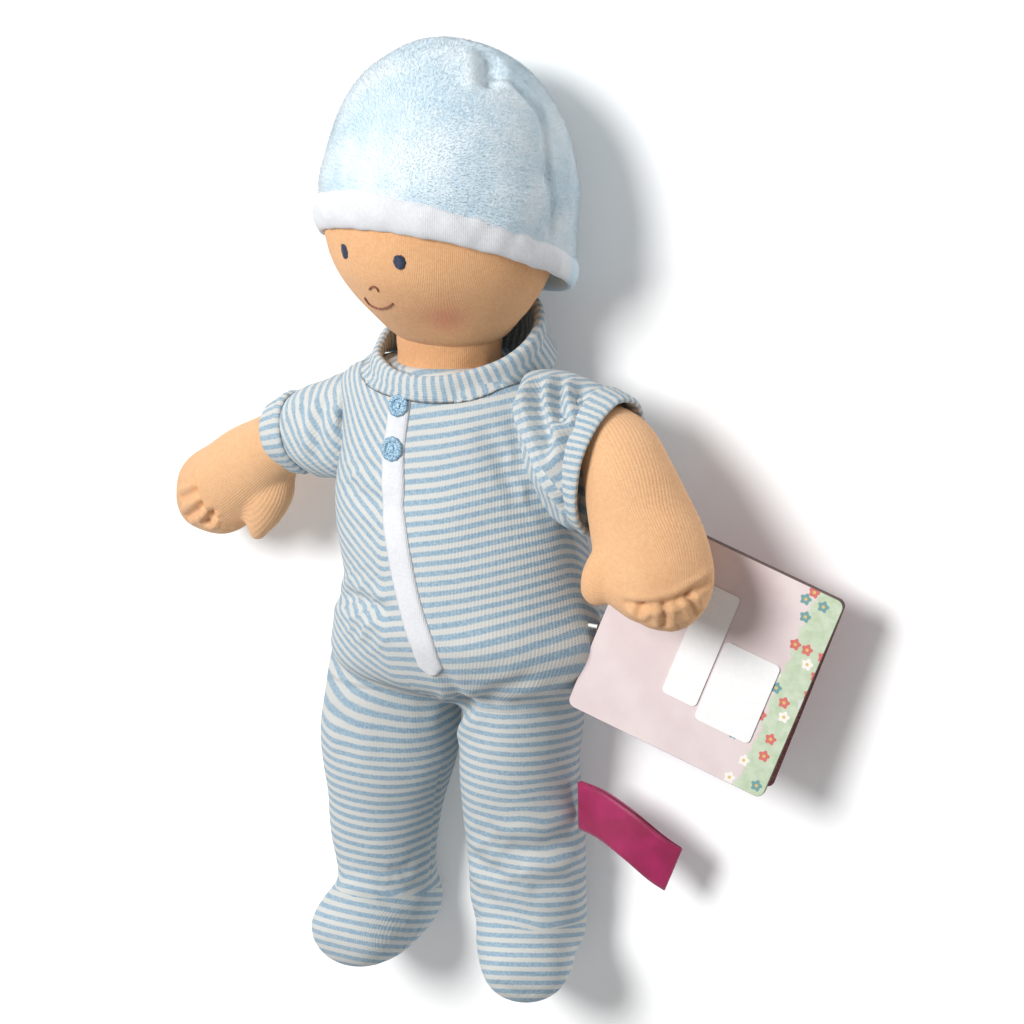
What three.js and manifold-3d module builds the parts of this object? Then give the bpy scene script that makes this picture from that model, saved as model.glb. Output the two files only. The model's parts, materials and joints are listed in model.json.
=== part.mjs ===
// A cloth baby doll in a footed romper, lying on its back.
// Millimetres. +Z is the doll's front, +Y its head end, +X its left side.
import * as THREE from 'three';
import { mergeVertices } from 'three/addons/utils/BufferGeometryUtils.js';
import Module from 'manifold-3d';

const wasm = await Module();
wasm.setup();

// Cloth and clearances
const CLOTH = 1.4;
const PLUSH = 2.2;
const LINING = 1.0;
const SEAT_GAP = 0.3;
const TURN_GAP = 0.6;
const BACK_FLAT = 0.5;
const SIDES = 16;

// Body
const BODY_HALF_WIDTH = 57;
const BODY_HALF_DEPTH = 44;
const BODY_LEAN = 6;
const HIP_LINE = -70;
const WAIST_LINE = -5;
const SHOULDER_LINE = 50;
const NECKLINE = 67;
const NECK_RADIUS = 21;
const NECK_HEIGHT = 12;
const NECK_IN_HEAD = 10;
const NECK_NOD = 12;
const NECK_CENTRE_HEIGHT = 45;
const NECK_PIVOT_BELOW_NECKLINE = 6;

// Collar, placket and buttons
const COLLAR_HEIGHT = 10;
const COLLAR_CLEARANCE = 4.6;
const COLLAR_TILT = 10;
const PLACKET_WIDTH = 9;
const PLACKET_THICKNESS = 1.2;
const BUTTON_RADIUS = 4.6;
const BUTTON_THICKNESS = 1.6;
const BUTTON_SPACING = 17;
const FIRST_BUTTON_BELOW_NECKLINE = 16;

// Head and face
const HEAD_HALF_WIDTH = 48;
const HEAD_HALF_DEPTH = 46;
const HEAD_LENGTH = 106;
const HEAD_TURN = -5;
const HEAD_SETTLE = 0.3;
const EYE_HALF_WIDTH = 2.4;
const EYE_HALF_HEIGHT = 2.9;
const EYE_SPACING = 28;
const EYE_HEIGHT = 36.5;
const NOSE_HEIGHT = 24.5;
const MOUTH_HEIGHT = 16;
const MOUTH_HALF_WIDTH = 7;
const THREAD = 0.9;

// Hat
const HAT_EASE = 0.5;
const HAT_FRONT_EDGE = 50;
const HAT_BACK_EDGE = 14;
const HAT_ROLL = 3.4;
const HAT_CROWN_RISE = 7;

// Arms and sleeves
const SHOULDER_HALF_SPAN = 51;
const SHOULDER_HEIGHT = 44;
const ARM_LENGTH = 110;
const ARM_RADIUS = 14;
const HAND_HALF_WIDTH = 20;
const THUMB_LENGTH = 22;
const THUMB_RADIUS = 7;
const ARM_ROOT_RADIUS = 9;
const ARM_ROOT_LENGTH = 24;
const SLEEVE_LENGTH = 42;
const LEFT_SLEEVE_PUSHED_UP = 17;
const SLEEVE_EASE = 2.2;
const CUFF_LENGTH = 11;
const CUFF_THICKNESS = 2.6;
const RIGHT_ARM_SPREAD = 51;
const RIGHT_ARM_LIFT = -10;
const LEFT_ARM_SPREAD = 43;
const LEFT_ARM_LIFT = 33;

// Legs and feet
const HIP_HALF_SPAN = 30.5;
const HIP_HALF_WIDTH = 26.5;
const HIP_RADIUS = 30;
const LEG_LENGTH = 95;
const ANKLE_RADIUS = 23;
const FOOT_DROP = 24;
const FOOT_LENGTH = 62;
const FOOT_HALF_WIDTH = 22;
const RIGHT_TOE_OUT = 4;
const LEFT_TOE_OUT = 26;
const HIP_FOLD_ANGLE = 80;

// Card tag
const TAG_SIZE = 86;
const TAG_THICKNESS = 2.4;
const TAG_COVER_THICKNESS = 0.8;
const TAG_OPENING = 8;
const TAG_CORNER = [60.5, -63.5, 52.5];
const TAG_SLOPE = 8;
const TAG_TURN = -19.5;
const TAG_LEAN = -7;
const TAG_PIN_RADIUS = 0.8;
const TAG_PIN_ALONG_EDGE = 34;
const STICKER_THICKNESS = 0.3;
const WIDE_STICKER = { x: 33, y: 22, width: 15, height: 48 };
const SQUARE_STICKER = { x: 49, y: 18, width: 24, height: 34 };

// Ribbon label
const LABEL_WIDTH = 20;
const LABEL_LENGTH = 40;
const LABEL_THICKNESS = 0.5;
const LABEL_GAP = 1.2;

const COLOURS = {
  skin: 0xe0a777,
  stuffing: 0xf2f0ea,
  stripe: 0xa9c6d8,
  white: 0xf1f3f8,
  thread: 0x5b96c8,
  navy: 0x1d2b4a,
  brown: 0x7a4428,
  plush: 0xc3e0f0,
  card: 0xf0dde2,
  leaf: 0xb98089,
  plastic: 0xf4f4f2,
  ribbon: 0x97164f,
};

const doll = new THREE.Group();

// Solids

function solidOf(geometry) {
  const bare = geometry.index ? geometry.toNonIndexed() : geometry.clone();
  bare.deleteAttribute('normal');
  bare.deleteAttribute('uv');
  const merged = mergeVertices(bare, 1e-4);
  return new wasm.Manifold(new wasm.Mesh({
    numProp: 3,
    vertProperties: new Float32Array(merged.attributes.position.array),
    triVerts: new Uint32Array(merged.index.array),
  }));
}

function geometryOf(solid) {
  const mesh = solid.getMesh();
  const geometry = new THREE.BufferGeometry();
  geometry.setAttribute('position', new THREE.BufferAttribute(new Float32Array(mesh.vertProperties), 3));
  geometry.setIndex(new THREE.BufferAttribute(new Uint32Array(mesh.triVerts), 1));
  return geometry;
}

function addPiece(group, name, shape, colour, roughness = 0.9) {
  const geometry = shape.isBufferGeometry ? shape : geometryOf(shape);
  const material = new THREE.MeshStandardMaterial({ color: COLOURS[colour], roughness, metalness: 0 });
  const mesh = new THREE.Mesh(geometry, material);
  mesh.name = name;
  group.add(mesh);
  return mesh;
}

function placed(geometry, x, y, z) {
  geometry.translate(x, y, z);
  return geometry;
}

// A block between two corners
function block(low, high) {
  const size = high.map((value, axis) => value - low[axis]);
  const middle = high.map((value, axis) => (value + low[axis]) / 2);
  return solidOf(placed(new THREE.BoxGeometry(...size), ...middle));
}

// A round solid about a line along X
function turnedAboutX(profile, segments = 24) {
  const points = profile.map(([along, radius]) => new THREE.Vector2(radius, along));
  const geometry = new THREE.LatheGeometry(points, segments);
  geometry.rotateZ(-Math.PI / 2);
  return solidOf(geometry);
}

// A stuffed form: oval rings along Y, through rows of [y, half width, half depth, x, z].
// The rows are smoothed, and inset draws every ring and both ends in.
function stuffedForm(rows, rings, inset = 0, sides = SIDES) {
  const widths = new THREE.CatmullRomCurve3(rows.map((row) => new THREE.Vector3(row[0], row[1], row[2])));
  const places = new THREE.CatmullRomCurve3(
    rows.map((row) => new THREE.Vector3(row[0], row[3] ?? 0, row[4] ?? 0)));
  const positions = [];
  const index = [];
  const direction = Math.sign(rows.at(-1)[0] - rows[0][0]);
  for (let ring = 0; ring < rings; ring += 1) {
    const share = ring / (rings - 1);
    const size = widths.getPoint(share);
    const centre = places.getPoint(share);
    const endShift = ring === 0 ? inset : ring === rings - 1 ? -inset : 0;
    for (let side = 0; side < sides; side += 1) {
      const angle = side / sides * 2 * Math.PI;
      positions.push(
        centre.y + (size.y - inset) * Math.cos(angle),
        size.x + direction * endShift,
        centre.z + (size.z - inset) * Math.sin(angle));
    }
  }
  for (let ring = 0; ring < rings - 1; ring += 1) {
    for (let side = 0; side < sides; side += 1) {
      const next = (side + 1) % sides;
      const a = ring * sides + side;
      const b = ring * sides + next;
      const c = a + sides;
      const d = b + sides;
      index.push(a, c, b, b, c, d);
    }
  }
  for (const [ring, flip] of [[0, false], [rings - 1, true]]) {
    for (let side = 1; side < sides - 1; side += 1) {
      const a = ring * sides;
      index.push(a, flip ? a + side + 1 : a + side, flip ? a + side : a + side + 1);
    }
  }
  const geometry = new THREE.BufferGeometry();
  geometry.setAttribute('position', new THREE.BufferAttribute(new Float32Array(positions), 3));
  geometry.setIndex(index);
  const solid = solidOf(geometry);
  return solid.volume() > 0 ? solid : solidOf(flipped(geometry));
}

function flipped(geometry) {
  const order = Array.from(geometry.index.array);
  for (let corner = 0; corner < order.length; corner += 3) {
    [order[corner + 1], order[corner + 2]] = [order[corner + 2], order[corner + 1]];
  }
  geometry.setIndex(order);
  return geometry;
}

const FAR = 400;
const above = (axis, value) => {
  const low = [-FAR, -FAR, -FAR];
  low[axis] = value;
  return block(low, [FAR, FAR, FAR]);
};
const below = (axis, value) => {
  const high = [FAR, FAR, FAR];
  high[axis] = value;
  return block([-FAR, -FAR, -FAR], high);
};

// Body form, armholes, hip folds and neck hole

const bellyDepth = BODY_HALF_DEPTH * 0.98;
const bodyRows = [
  [HIP_LINE, BODY_HALF_WIDTH * 0.5, BODY_HALF_DEPTH * 0.42, 0, 27],
  [HIP_LINE + 8, BODY_HALF_WIDTH * 0.92, BODY_HALF_DEPTH * 0.8, 0, 36],
  [HIP_LINE + 28, BODY_HALF_WIDTH * 0.97, bellyDepth, BODY_LEAN, bellyDepth - BACK_FLAT],
  [WAIST_LINE, BODY_HALF_WIDTH * 0.92, BODY_HALF_DEPTH, BODY_LEAN, BODY_HALF_DEPTH - BACK_FLAT],
  [SHOULDER_LINE - 20, BODY_HALF_WIDTH * 0.9, BODY_HALF_DEPTH * 0.9, BODY_LEAN / 2, BODY_HALF_DEPTH * 0.93],
  [SHOULDER_LINE + 4, BODY_HALF_WIDTH * 0.86, BODY_HALF_DEPTH * 0.75, 0, BODY_HALF_DEPTH * 0.93],
  [NECKLINE - 4, BODY_HALF_WIDTH * 0.62, BODY_HALF_DEPTH * 0.66, 0, NECK_CENTRE_HEIGHT],
  [NECKLINE, NECK_RADIUS + 7, NECK_RADIUS + 4, 0, NECK_CENTRE_HEIGHT],
];
const BODY_RINGS = 11;

const neckPivot = [0, NECKLINE - NECK_PIVOT_BELOW_NECKLINE, NECK_CENTRE_HEIGHT];
const neckBallRadius = NECK_RADIUS + 1;
const sleeveRootRadius = ARM_RADIUS + SLEEVE_EASE + CLOTH + 2;

// Space that the sleeve sweeps as the arm swings about the line along X
function armSweep(side, spread) {
  const angle = THREE.MathUtils.degToRad(spread);
  const outward = Math.sin(angle);
  const downward = Math.cos(angle);
  const radius = sleeveRootRadius + TURN_GAP;
  const start = SHOULDER_HALF_SPAN - radius * 0.9;
  const reach = SLEEVE_LENGTH + CUFF_THICKNESS * 2;
  const endX = SHOULDER_HALF_SPAN + reach * outward - radius * downward;
  const endRadius = reach * downward + radius * outward;
  const profile = [
    [start, 0],
    [start, radius * 0.5],
    [endX - TURN_GAP, endRadius + TURN_GAP],
    [endX + FAR, endRadius + TURN_GAP],
    [endX + FAR, 0],
  ];
  const holeEnd = SHOULDER_HALF_SPAN - ARM_ROOT_LENGTH - SEAT_GAP;
  const holeRadius = (ARM_ROOT_RADIUS + SEAT_GAP) / Math.cos(Math.PI / 12);
  const hole = [
    [holeEnd, 0],
    [holeEnd, holeRadius],
    [SHOULDER_HALF_SPAN, holeRadius],
    [SHOULDER_HALF_SPAN, 0],
  ];
  const rootHole = turnedAboutX(hole, 12);
  const sweep = turnedAboutX(profile, 18).add(rootHole);
  return placedSolid(side > 0 ? sweep : mirroredX(sweep), 0, SHOULDER_LINE, SHOULDER_HEIGHT);
}

function placedSolid(solid, x, y, z) {
  return solidOf(placed(geometryOf(solid), x, y, z));
}

function mirroredX(solid) {
  const geometry = geometryOf(solid);
  geometry.scale(-1, 1, 1);
  return solidOf(flipped(geometry));
}

// Space that the top of a leg sweeps as it folds forward at the hip
function hipSweep(side) {
  const radius = HIP_RADIUS + TURN_GAP;
  const half = HIP_HALF_WIDTH + TURN_GAP;
  const profile = [[-half, 0], [-half, radius * 0.75], [-half * 0.75, radius * 0.95], [0, radius]];
  profile.push([half * 0.75, radius * 0.95], [half, radius * 0.75], [half, 0]);
  const barrel = turnedAboutX(profile, 20);
  const fold = block([-half, -FAR, 0], [half, radius, FAR]);
  const lean = new THREE.Matrix4().makeRotationX(THREE.MathUtils.degToRad(HIP_FOLD_ANGLE - 90));
  const leaned = geometryOf(fold);
  leaned.applyMatrix4(lean);
  const under = block([-half, -FAR, -radius], [half, 0, radius]);
  const sweep = barrel.add(solidOf(leaned)).add(under);
  return placedSolid(sweep, side * HIP_HALF_SPAN, HIP_LINE, hipHeight);
}

const hipHeight = HIP_RADIUS - BACK_FLAT;

// The mouth of the neck hole widens, so that the neck can nod
const nodSlope = Math.tan(THREE.MathUtils.degToRad(NECK_NOD));
const mouthRadius = neckBallRadius + TURN_GAP;
const mouthReach = NECK_RADIUS * 2;
const mouthProfile = [
  new THREE.Vector2(0, 0),
  new THREE.Vector2(mouthRadius, 0),
  new THREE.Vector2(mouthRadius + mouthReach * nodSlope, mouthReach),
  new THREE.Vector2(0, mouthReach),
];
const neckMouth = new THREE.LatheGeometry(mouthProfile, 24);
const neckHole = solidOf(placed(new THREE.SphereGeometry(mouthRadius, 24, 14), ...neckPivot))
  .add(solidOf(placed(neckMouth, ...neckPivot)));
const bodyCuts = [armSweep(1, LEFT_ARM_SPREAD), armSweep(-1, LEFT_ARM_SPREAD), hipSweep(1), hipSweep(-1)]
  .reduce((all, cut) => all.add(cut), neckHole);

function cutBody(solid) {
  return solid.subtract(bodyCuts).intersect(above(2, 0));
}

function bodyShape(inset) {
  return stuffedForm(bodyRows, BODY_RINGS, inset);
}

const bodyOuter = bodyShape(0);
const bodyShell = cutBody(bodyOuter.subtract(bodyShape(CLOTH)));
const sideSeam = BODY_HALF_DEPTH * 0.95;

addPiece(doll, 'body_stuffing', cutBody(bodyShape(CLOTH + SEAT_GAP)), 'stuffing');
addPiece(doll, 'romper_back', bodyShell.intersect(below(2, sideSeam - SEAT_GAP / 2)), 'stripe');

const bodyFront = bodyShell.intersect(above(2, sideSeam + SEAT_GAP / 2));
addPiece(doll, 'romper_front_left', bodyFront.intersect(above(0, SEAT_GAP / 2)), 'stripe');
addPiece(doll, 'romper_front_right', bodyFront.intersect(below(0, -SEAT_GAP / 2)), 'stripe');

// Placket and buttons lie on the romper's front

function overBody(low, high, width, thickness) {
  const slab = block([-width / 2, low, BODY_HALF_DEPTH], [width / 2, high, FAR]);
  const skin = bodyShape(-SEAT_GAP - thickness).subtract(bodyShape(-SEAT_GAP));
  return skin.intersect(slab);
}

const placketTop = NECKLINE - COLLAR_HEIGHT - 2;
const placketBottom = HIP_LINE + 22;
addPiece(doll, 'placket', overBody(placketBottom, placketTop, PLACKET_WIDTH, PLACKET_THICKNESS), 'white');

function button(name, belowNeckline) {
  const y = NECKLINE - belowNeckline;
  const column = new THREE.CylinderGeometry(BUTTON_RADIUS, BUTTON_RADIUS, FAR, 14);
  column.rotateX(Math.PI / 2);
  const stem = solidOf(placed(column, 0, y, BODY_HALF_DEPTH + FAR / 2));
  const base = SEAT_GAP * 2 + PLACKET_THICKNESS;
  const pad = bodyShape(-base - BUTTON_THICKNESS).subtract(bodyShape(-base));
  addPiece(doll, name, pad.intersect(stem), 'thread');
}

button('button_upper', FIRST_BUTTON_BELOW_NECKLINE);
button('button_lower', FIRST_BUTTON_BELOW_NECKLINE + BUTTON_SPACING);

// Collar band, higher at the nape

const collarInner = NECK_RADIUS + COLLAR_CLEARANCE;
const collarFoot = -COLLAR_HEIGHT * 0.6;
const collarRim = COLLAR_HEIGHT / 2;
const collarProfile = [
  new THREE.Vector2(collarInner + 4, collarFoot),
  new THREE.Vector2(collarInner + 4 + CLOTH * 2, collarFoot),
  new THREE.Vector2(collarInner + CLOTH * 2, collarRim),
  new THREE.Vector2(collarInner, collarRim),
  new THREE.Vector2(collarInner + 4, collarFoot),
];
const collarRing = new THREE.LatheGeometry(collarProfile, 20);
collarRing.rotateX(THREE.MathUtils.degToRad(COLLAR_TILT));
collarRing.translate(0, NECKLINE + 1, NECK_CENTRE_HEIGHT);
addPiece(doll, 'collar_band', solidOf(collarRing).subtract(bodyShape(-SEAT_GAP * 2)), 'stripe');

// Neck: a ball end in the body and a tube that ends inside the head

const neck = new THREE.Group();
neck.name = 'pivot_neck_nod';
neck.position.set(...neckPivot);
doll.add(neck);

function neckShape(inset, top) {
  const radius = NECK_RADIUS - inset;
  const ball = neckBallRadius - inset;
  const points = [];
  const steps = 4;
  for (let step = 0; step <= steps; step += 1) {
    const angle = -Math.PI / 2 + step / steps * (Math.PI / 2);
    points.push(new THREE.Vector2(Math.max(ball * Math.cos(angle), 0), ball * Math.sin(angle)));
  }
  points[0].x = 0;
  points.push(new THREE.Vector2(radius, NECK_PIVOT_BELOW_NECKLINE));
  points.push(new THREE.Vector2(radius, top));
  points.push(new THREE.Vector2(0, top));
  return solidOf(new THREE.LatheGeometry(points, 16));
}

const neckTop = NECK_PIVOT_BELOW_NECKLINE + NECK_HEIGHT + NECK_IN_HEAD;
addPiece(neck, 'neck_tube', neckShape(0, neckTop).subtract(neckShape(CLOTH, neckTop + 1)), 'skin');
addPiece(neck, 'neck_stuffing', neckShape(CLOTH + SEAT_GAP, neckTop), 'stuffing');

// Head: built about the neck's line, with its own middle further forward

const head = new THREE.Group();
head.name = 'pivot_head_turn';
const headBase = NECKLINE + NECK_HEIGHT - neckPivot[1];
head.position.set(0, headBase, 0);
head.rotation.y = THREE.MathUtils.degToRad(HEAD_TURN);
neck.add(head);

const hatWall = HAT_EASE + LINING + SEAT_GAP + Math.max(PLUSH, HAT_ROLL);
const headForward = HEAD_HALF_DEPTH + hatWall + HEAD_SETTLE - NECK_CENTRE_HEIGHT;
const headRows = [
  [0, 0.4, 0.42],
  [0.05, 0.62, 0.64],
  [0.17, 0.86, 0.86],
  [0.33, 0.985, 0.97],
  [0.5, 1, 1],
  [0.66, 0.92, 0.92],
  [0.82, 0.7, 0.7],
  [0.94, 0.4, 0.4],
  [1, 0.14, 0.15],
].map(([along, width, depth]) => [
  along * HEAD_LENGTH, width * HEAD_HALF_WIDTH, depth * HEAD_HALF_DEPTH, 0, headForward]);
const HEAD_RINGS = 11;
const headShape = (inset) => stuffedForm(headRows, HEAD_RINGS, inset);

const socketLength = HEAD_LENGTH * 0.56;
const socketRadius = NECK_RADIUS + TURN_GAP;
const neckSocket = new THREE.CylinderGeometry(socketRadius, socketRadius, socketLength, 16);
const socketDepth = neckTop - headBase + SEAT_GAP * 2;
const headSocket = solidOf(placed(neckSocket, 0, socketDepth - socketLength / 2, 0));

const headShell = headShape(0).subtract(headShape(CLOTH)).subtract(headSocket);
const earLine = headForward + 2;
addPiece(head, 'head_stuffing', headShape(CLOTH + SEAT_GAP).subtract(headSocket), 'stuffing');
addPiece(head, 'face_panel', headShell.intersect(above(2, earLine + SEAT_GAP / 2)), 'skin');
addPiece(head, 'head_back_panel', headShell.intersect(below(2, earLine - SEAT_GAP / 2)), 'skin');

// Embroidery is a thin pad of thread that follows the face

function onFace(outline, thickness) {
  const pad = headShape(-SEAT_GAP - thickness).subtract(headShape(-SEAT_GAP));
  return pad.intersect(outline);
}

function ovalColumn(x, y, halfWidth, halfHeight) {
  const column = new THREE.CylinderGeometry(1, 1, FAR, 12);
  column.rotateX(Math.PI / 2);
  column.scale(halfWidth, halfHeight, 1);
  return solidOf(placed(column, x, y, headForward + FAR / 2));
}

function threadArc(x, y, radius, startAngle, endAngle) {
  const arc = new THREE.Shape();
  arc.absarc(x, y, radius + THREAD / 2, startAngle, endAngle, false);
  arc.absarc(x, y, radius - THREAD / 2, endAngle, startAngle, true);
  const geometry = new THREE.ExtrudeGeometry(arc, { depth: FAR, bevelEnabled: false, curveSegments: 6 });
  return solidOf(placed(geometry, 0, 0, headForward));
}

const eyeAt = EYE_SPACING / 2;
const eye = (x) => onFace(ovalColumn(x, EYE_HEIGHT, EYE_HALF_WIDTH, EYE_HALF_HEIGHT), THREAD);
addPiece(head, 'eye_left', eye(eyeAt), 'navy');
addPiece(head, 'eye_right', eye(-eyeAt), 'navy');
addPiece(head, 'nose_stitch', onFace(threadArc(0, NOSE_HEIGHT - 2, 2, 0.3, Math.PI - 0.3), THREAD), 'brown');
const smileRadius = MOUTH_HALF_WIDTH * 1.25;
const smileHalfAngle = Math.asin(MOUTH_HALF_WIDTH / smileRadius);
const smile = threadArc(0, MOUTH_HEIGHT + smileRadius, smileRadius,
  -Math.PI / 2 - smileHalfAngle, -Math.PI / 2 + smileHalfAngle);
addPiece(head, 'mouth_stitch', onFace(smile, THREAD), 'brown');

// Hat: a jersey lining inside two plush panels, with a rolled edge

const hat = new THREE.Group();
hat.name = 'pivot_hat_off';
head.add(hat);

const hatRows = (grow) => {
  const rows = [
    [-0.1, 1, 1],
    [0.5, 1, 1],
    [0.64, 0.95, 0.95],
    [0.79, 0.77, 0.77],
    [0.93, 0.48, 0.48],
    [1.02, 0.2, 0.2],
  ];
  return rows.map(([along, width, depth]) => [
    along * (HEAD_LENGTH + HAT_CROWN_RISE) + (along > 0.9 ? grow * 0.9 : 0),
    width * (HEAD_HALF_WIDTH + 0.6) + grow,
    depth * (HEAD_HALF_DEPTH + 0.2) + grow,
    0, headForward]);
};
const hatShape = (grow) => stuffedForm(hatRows(grow), 9);

const hatSlope = Math.atan2(HAT_FRONT_EDGE - HAT_BACK_EDGE, 2 * HEAD_HALF_DEPTH);
function aboveHatEdge(rise) {
  const cut = new THREE.BoxGeometry(FAR, FAR, FAR);
  cut.translate(0, FAR / 2, 0);
  cut.rotateX(-hatSlope);
  const middle = (HAT_FRONT_EDGE + HAT_BACK_EDGE) / 2 + rise;
  return solidOf(placed(cut, 0, middle, headForward));
}

const liningOuter = HAT_EASE + LINING;
const plushInner = liningOuter + SEAT_GAP;
const headAway = headShape(-SEAT_GAP);
const rollRise = HAT_ROLL * 2;
const restCut = new THREE.BoxGeometry(FAR, FAR, FAR);
restCut.translate(0, 0, FAR / 2 - NECK_CENTRE_HEIGHT);
restCut.rotateY(THREE.MathUtils.degToRad(-HEAD_TURN));
const aboveRest = solidOf(restCut);
const hatPlush = hatShape(plushInner + PLUSH).subtract(hatShape(plushInner))
  .intersect(aboveHatEdge(rollRise + SEAT_GAP)).intersect(aboveRest);
const hatSeam = headForward - 6;
addPiece(hat, 'hat_front_panel', hatPlush.intersect(above(2, hatSeam + SEAT_GAP / 2)), 'plush');
addPiece(hat, 'hat_back_panel', hatPlush.intersect(below(2, hatSeam - SEAT_GAP / 2)), 'plush');
const hatRoll = hatShape(plushInner + HAT_ROLL).subtract(hatShape(HAT_EASE))
  .intersect(aboveHatEdge(0)).subtract(aboveHatEdge(rollRise));
const hatLining = hatShape(liningOuter).subtract(hatShape(HAT_EASE)).intersect(aboveHatEdge(0));
addPiece(hat, 'hat_lining', hatLining.add(hatRoll).subtract(headAway).intersect(aboveRest), 'white');

// Arms: the skin with its hand and thumb, its stuffing, the sleeve and the cuff

const armRows = [
  [ARM_RADIUS, 3, 3],
  [ARM_RADIUS * 0.75, ARM_RADIUS * 0.66, ARM_RADIUS * 0.66],
  [0, ARM_RADIUS, ARM_RADIUS],
  [-ARM_LENGTH * 0.38, ARM_RADIUS * 0.95, ARM_RADIUS * 0.95],
  [-ARM_LENGTH * 0.6, ARM_RADIUS * 1.2, ARM_RADIUS],
  [-ARM_LENGTH * 0.78, HAND_HALF_WIDTH, ARM_RADIUS * 0.93],
  [-ARM_LENGTH * 0.92, HAND_HALF_WIDTH * 0.86, ARM_RADIUS * 0.7],
  [-ARM_LENGTH, HAND_HALF_WIDTH * 0.42, ARM_RADIUS * 0.3],
];

function thumb(side, inset) {
  const geometry = new THREE.SphereGeometry(1, 10, 7);
  geometry.scale(THUMB_RADIUS - inset, THUMB_LENGTH / 2 - inset, THUMB_RADIUS - inset);
  geometry.rotateZ(side * THREE.MathUtils.degToRad(-28));
  geometry.translate(-side * (HAND_HALF_WIDTH * 0.86), -ARM_LENGTH * 0.8, 0);
  return solidOf(geometry);
}

const sleeveRootEase = SLEEVE_EASE + SEAT_GAP * 3;
const sleeveRows = (grow, length) => [
  [3, ARM_RADIUS + grow - sleeveRootEase, ARM_RADIUS + grow - sleeveRootEase],
  [-length * 0.2, ARM_RADIUS + grow + 1, ARM_RADIUS + grow + 1],
  [-length * 0.5, ARM_RADIUS + grow + 1, ARM_RADIUS + grow + 1],
  [-length, ARM_RADIUS + grow, ARM_RADIUS + grow],
];

function makeArm(side, word, spread, lift, sleeveLength) {
  const sleeveShape = (grow) => stuffedForm(sleeveRows(grow, sleeveLength), 6);
  const cuffTop = -sleeveLength + CUFF_LENGTH;
  const shoulder = new THREE.Group();
  shoulder.name = `pivot_shoulder_${word}`;
  shoulder.position.set(side * SHOULDER_HALF_SPAN, SHOULDER_LINE, SHOULDER_HEIGHT);
  doll.add(shoulder);
  const arm = new THREE.Group();
  arm.rotation.order = 'XZY';
  arm.rotation.set(THREE.MathUtils.degToRad(-lift), 0, side * THREE.MathUtils.degToRad(spread));
  shoulder.add(arm);
  arm.updateMatrix();
  const untilt = arm.matrix.clone().invert();
  const armRoot = (inset) => {
    const length = ARM_ROOT_LENGTH - inset;
    const geometry = new THREE.CylinderGeometry(ARM_ROOT_RADIUS - inset, ARM_ROOT_RADIUS - inset, length, 12);
    geometry.rotateZ(Math.PI / 2);
    geometry.translate(-side * length / 2, 0, 0);
    geometry.applyMatrix4(untilt);
    return solidOf(geometry);
  };
  const armShape = (inset) => stuffedForm(armRows, 10, inset, 12).add(thumb(side, inset)).add(armRoot(inset));
  const openRadius = ARM_ROOT_RADIUS - CLOTH;
  const openEnd = new THREE.CylinderGeometry(openRadius, openRadius, ARM_ROOT_LENGTH, 12);
  openEnd.rotateZ(Math.PI / 2);
  openEnd.translate(-side * ARM_ROOT_LENGTH, 0, 0);
  openEnd.applyMatrix4(untilt);
  const shellOpening = solidOf(openEnd);
  const shell = armShape(0).subtract(armShape(CLOTH)).subtract(shellOpening);
  addPiece(arm, `arm_${word}`, shell, 'skin');
  addPiece(arm, `arm_stuffing_${word}`, armShape(CLOTH + SEAT_GAP), 'stuffing');
  const sleeveWall = sleeveShape(SLEEVE_EASE + CLOTH).subtract(sleeveShape(SLEEVE_EASE));
  const sleeve = sleeveWall.subtract(armShape(-SEAT_GAP));
  const round = solidOf(new THREE.SphereGeometry(sleeveRootRadius, 14, 8));
  const notPastRoot = sleeve.intersect(round.add(below(1, -6)));
  const sleeveBand = notPastRoot.intersect(above(1, cuffTop + SEAT_GAP)).intersect(below(1, 2));
  addPiece(arm, `sleeve_${word}`, sleeveBand, 'stripe');
  const cuff = sleeveShape(SLEEVE_EASE + CUFF_THICKNESS).subtract(sleeveShape(SLEEVE_EASE));
  const cuffBand = cuff.intersect(below(1, cuffTop)).intersect(above(1, -sleeveLength + SEAT_GAP));
  addPiece(arm, `cuff_${word}`, cuffBand, 'stripe');
}

makeArm(1, 'left', LEFT_ARM_SPREAD, LEFT_ARM_LIFT, SLEEVE_LENGTH - LEFT_SLEEVE_PUSHED_UP);
makeArm(-1, 'right', RIGHT_ARM_SPREAD, RIGHT_ARM_LIFT, SLEEVE_LENGTH);

// Legs: romper leg, upper foot panel, sole and stuffing

const legRows = [
  [HIP_RADIUS * 0.98, 6, 5],
  [HIP_RADIUS * 0.9, HIP_HALF_WIDTH * 0.5, HIP_RADIUS * 0.43],
  [HIP_RADIUS * 0.62, HIP_HALF_WIDTH * 0.86, HIP_RADIUS * 0.78],
  [0, HIP_HALF_WIDTH, HIP_RADIUS],
  [-LEG_LENGTH * 0.35, HIP_HALF_WIDTH * 0.97, HIP_RADIUS * 0.93, 0, -1.6],
  [-LEG_LENGTH * 0.7, HIP_HALF_WIDTH * 0.85, HIP_RADIUS * 0.78, 0, -6],
  [-LEG_LENGTH, ANKLE_RADIUS, ANKLE_RADIUS, 0, -HIP_RADIUS + ANKLE_RADIUS],
  [-LEG_LENGTH - FOOT_DROP * 0.7, ANKLE_RADIUS * 0.9, ANKLE_RADIUS * 0.95, 0, -HIP_RADIUS + ANKLE_RADIUS],
  [-LEG_LENGTH - FOOT_DROP, ANKLE_RADIUS * 0.6, ANKLE_RADIUS * 0.7, 0, -HIP_RADIUS + ANKLE_RADIUS],
];

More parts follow.
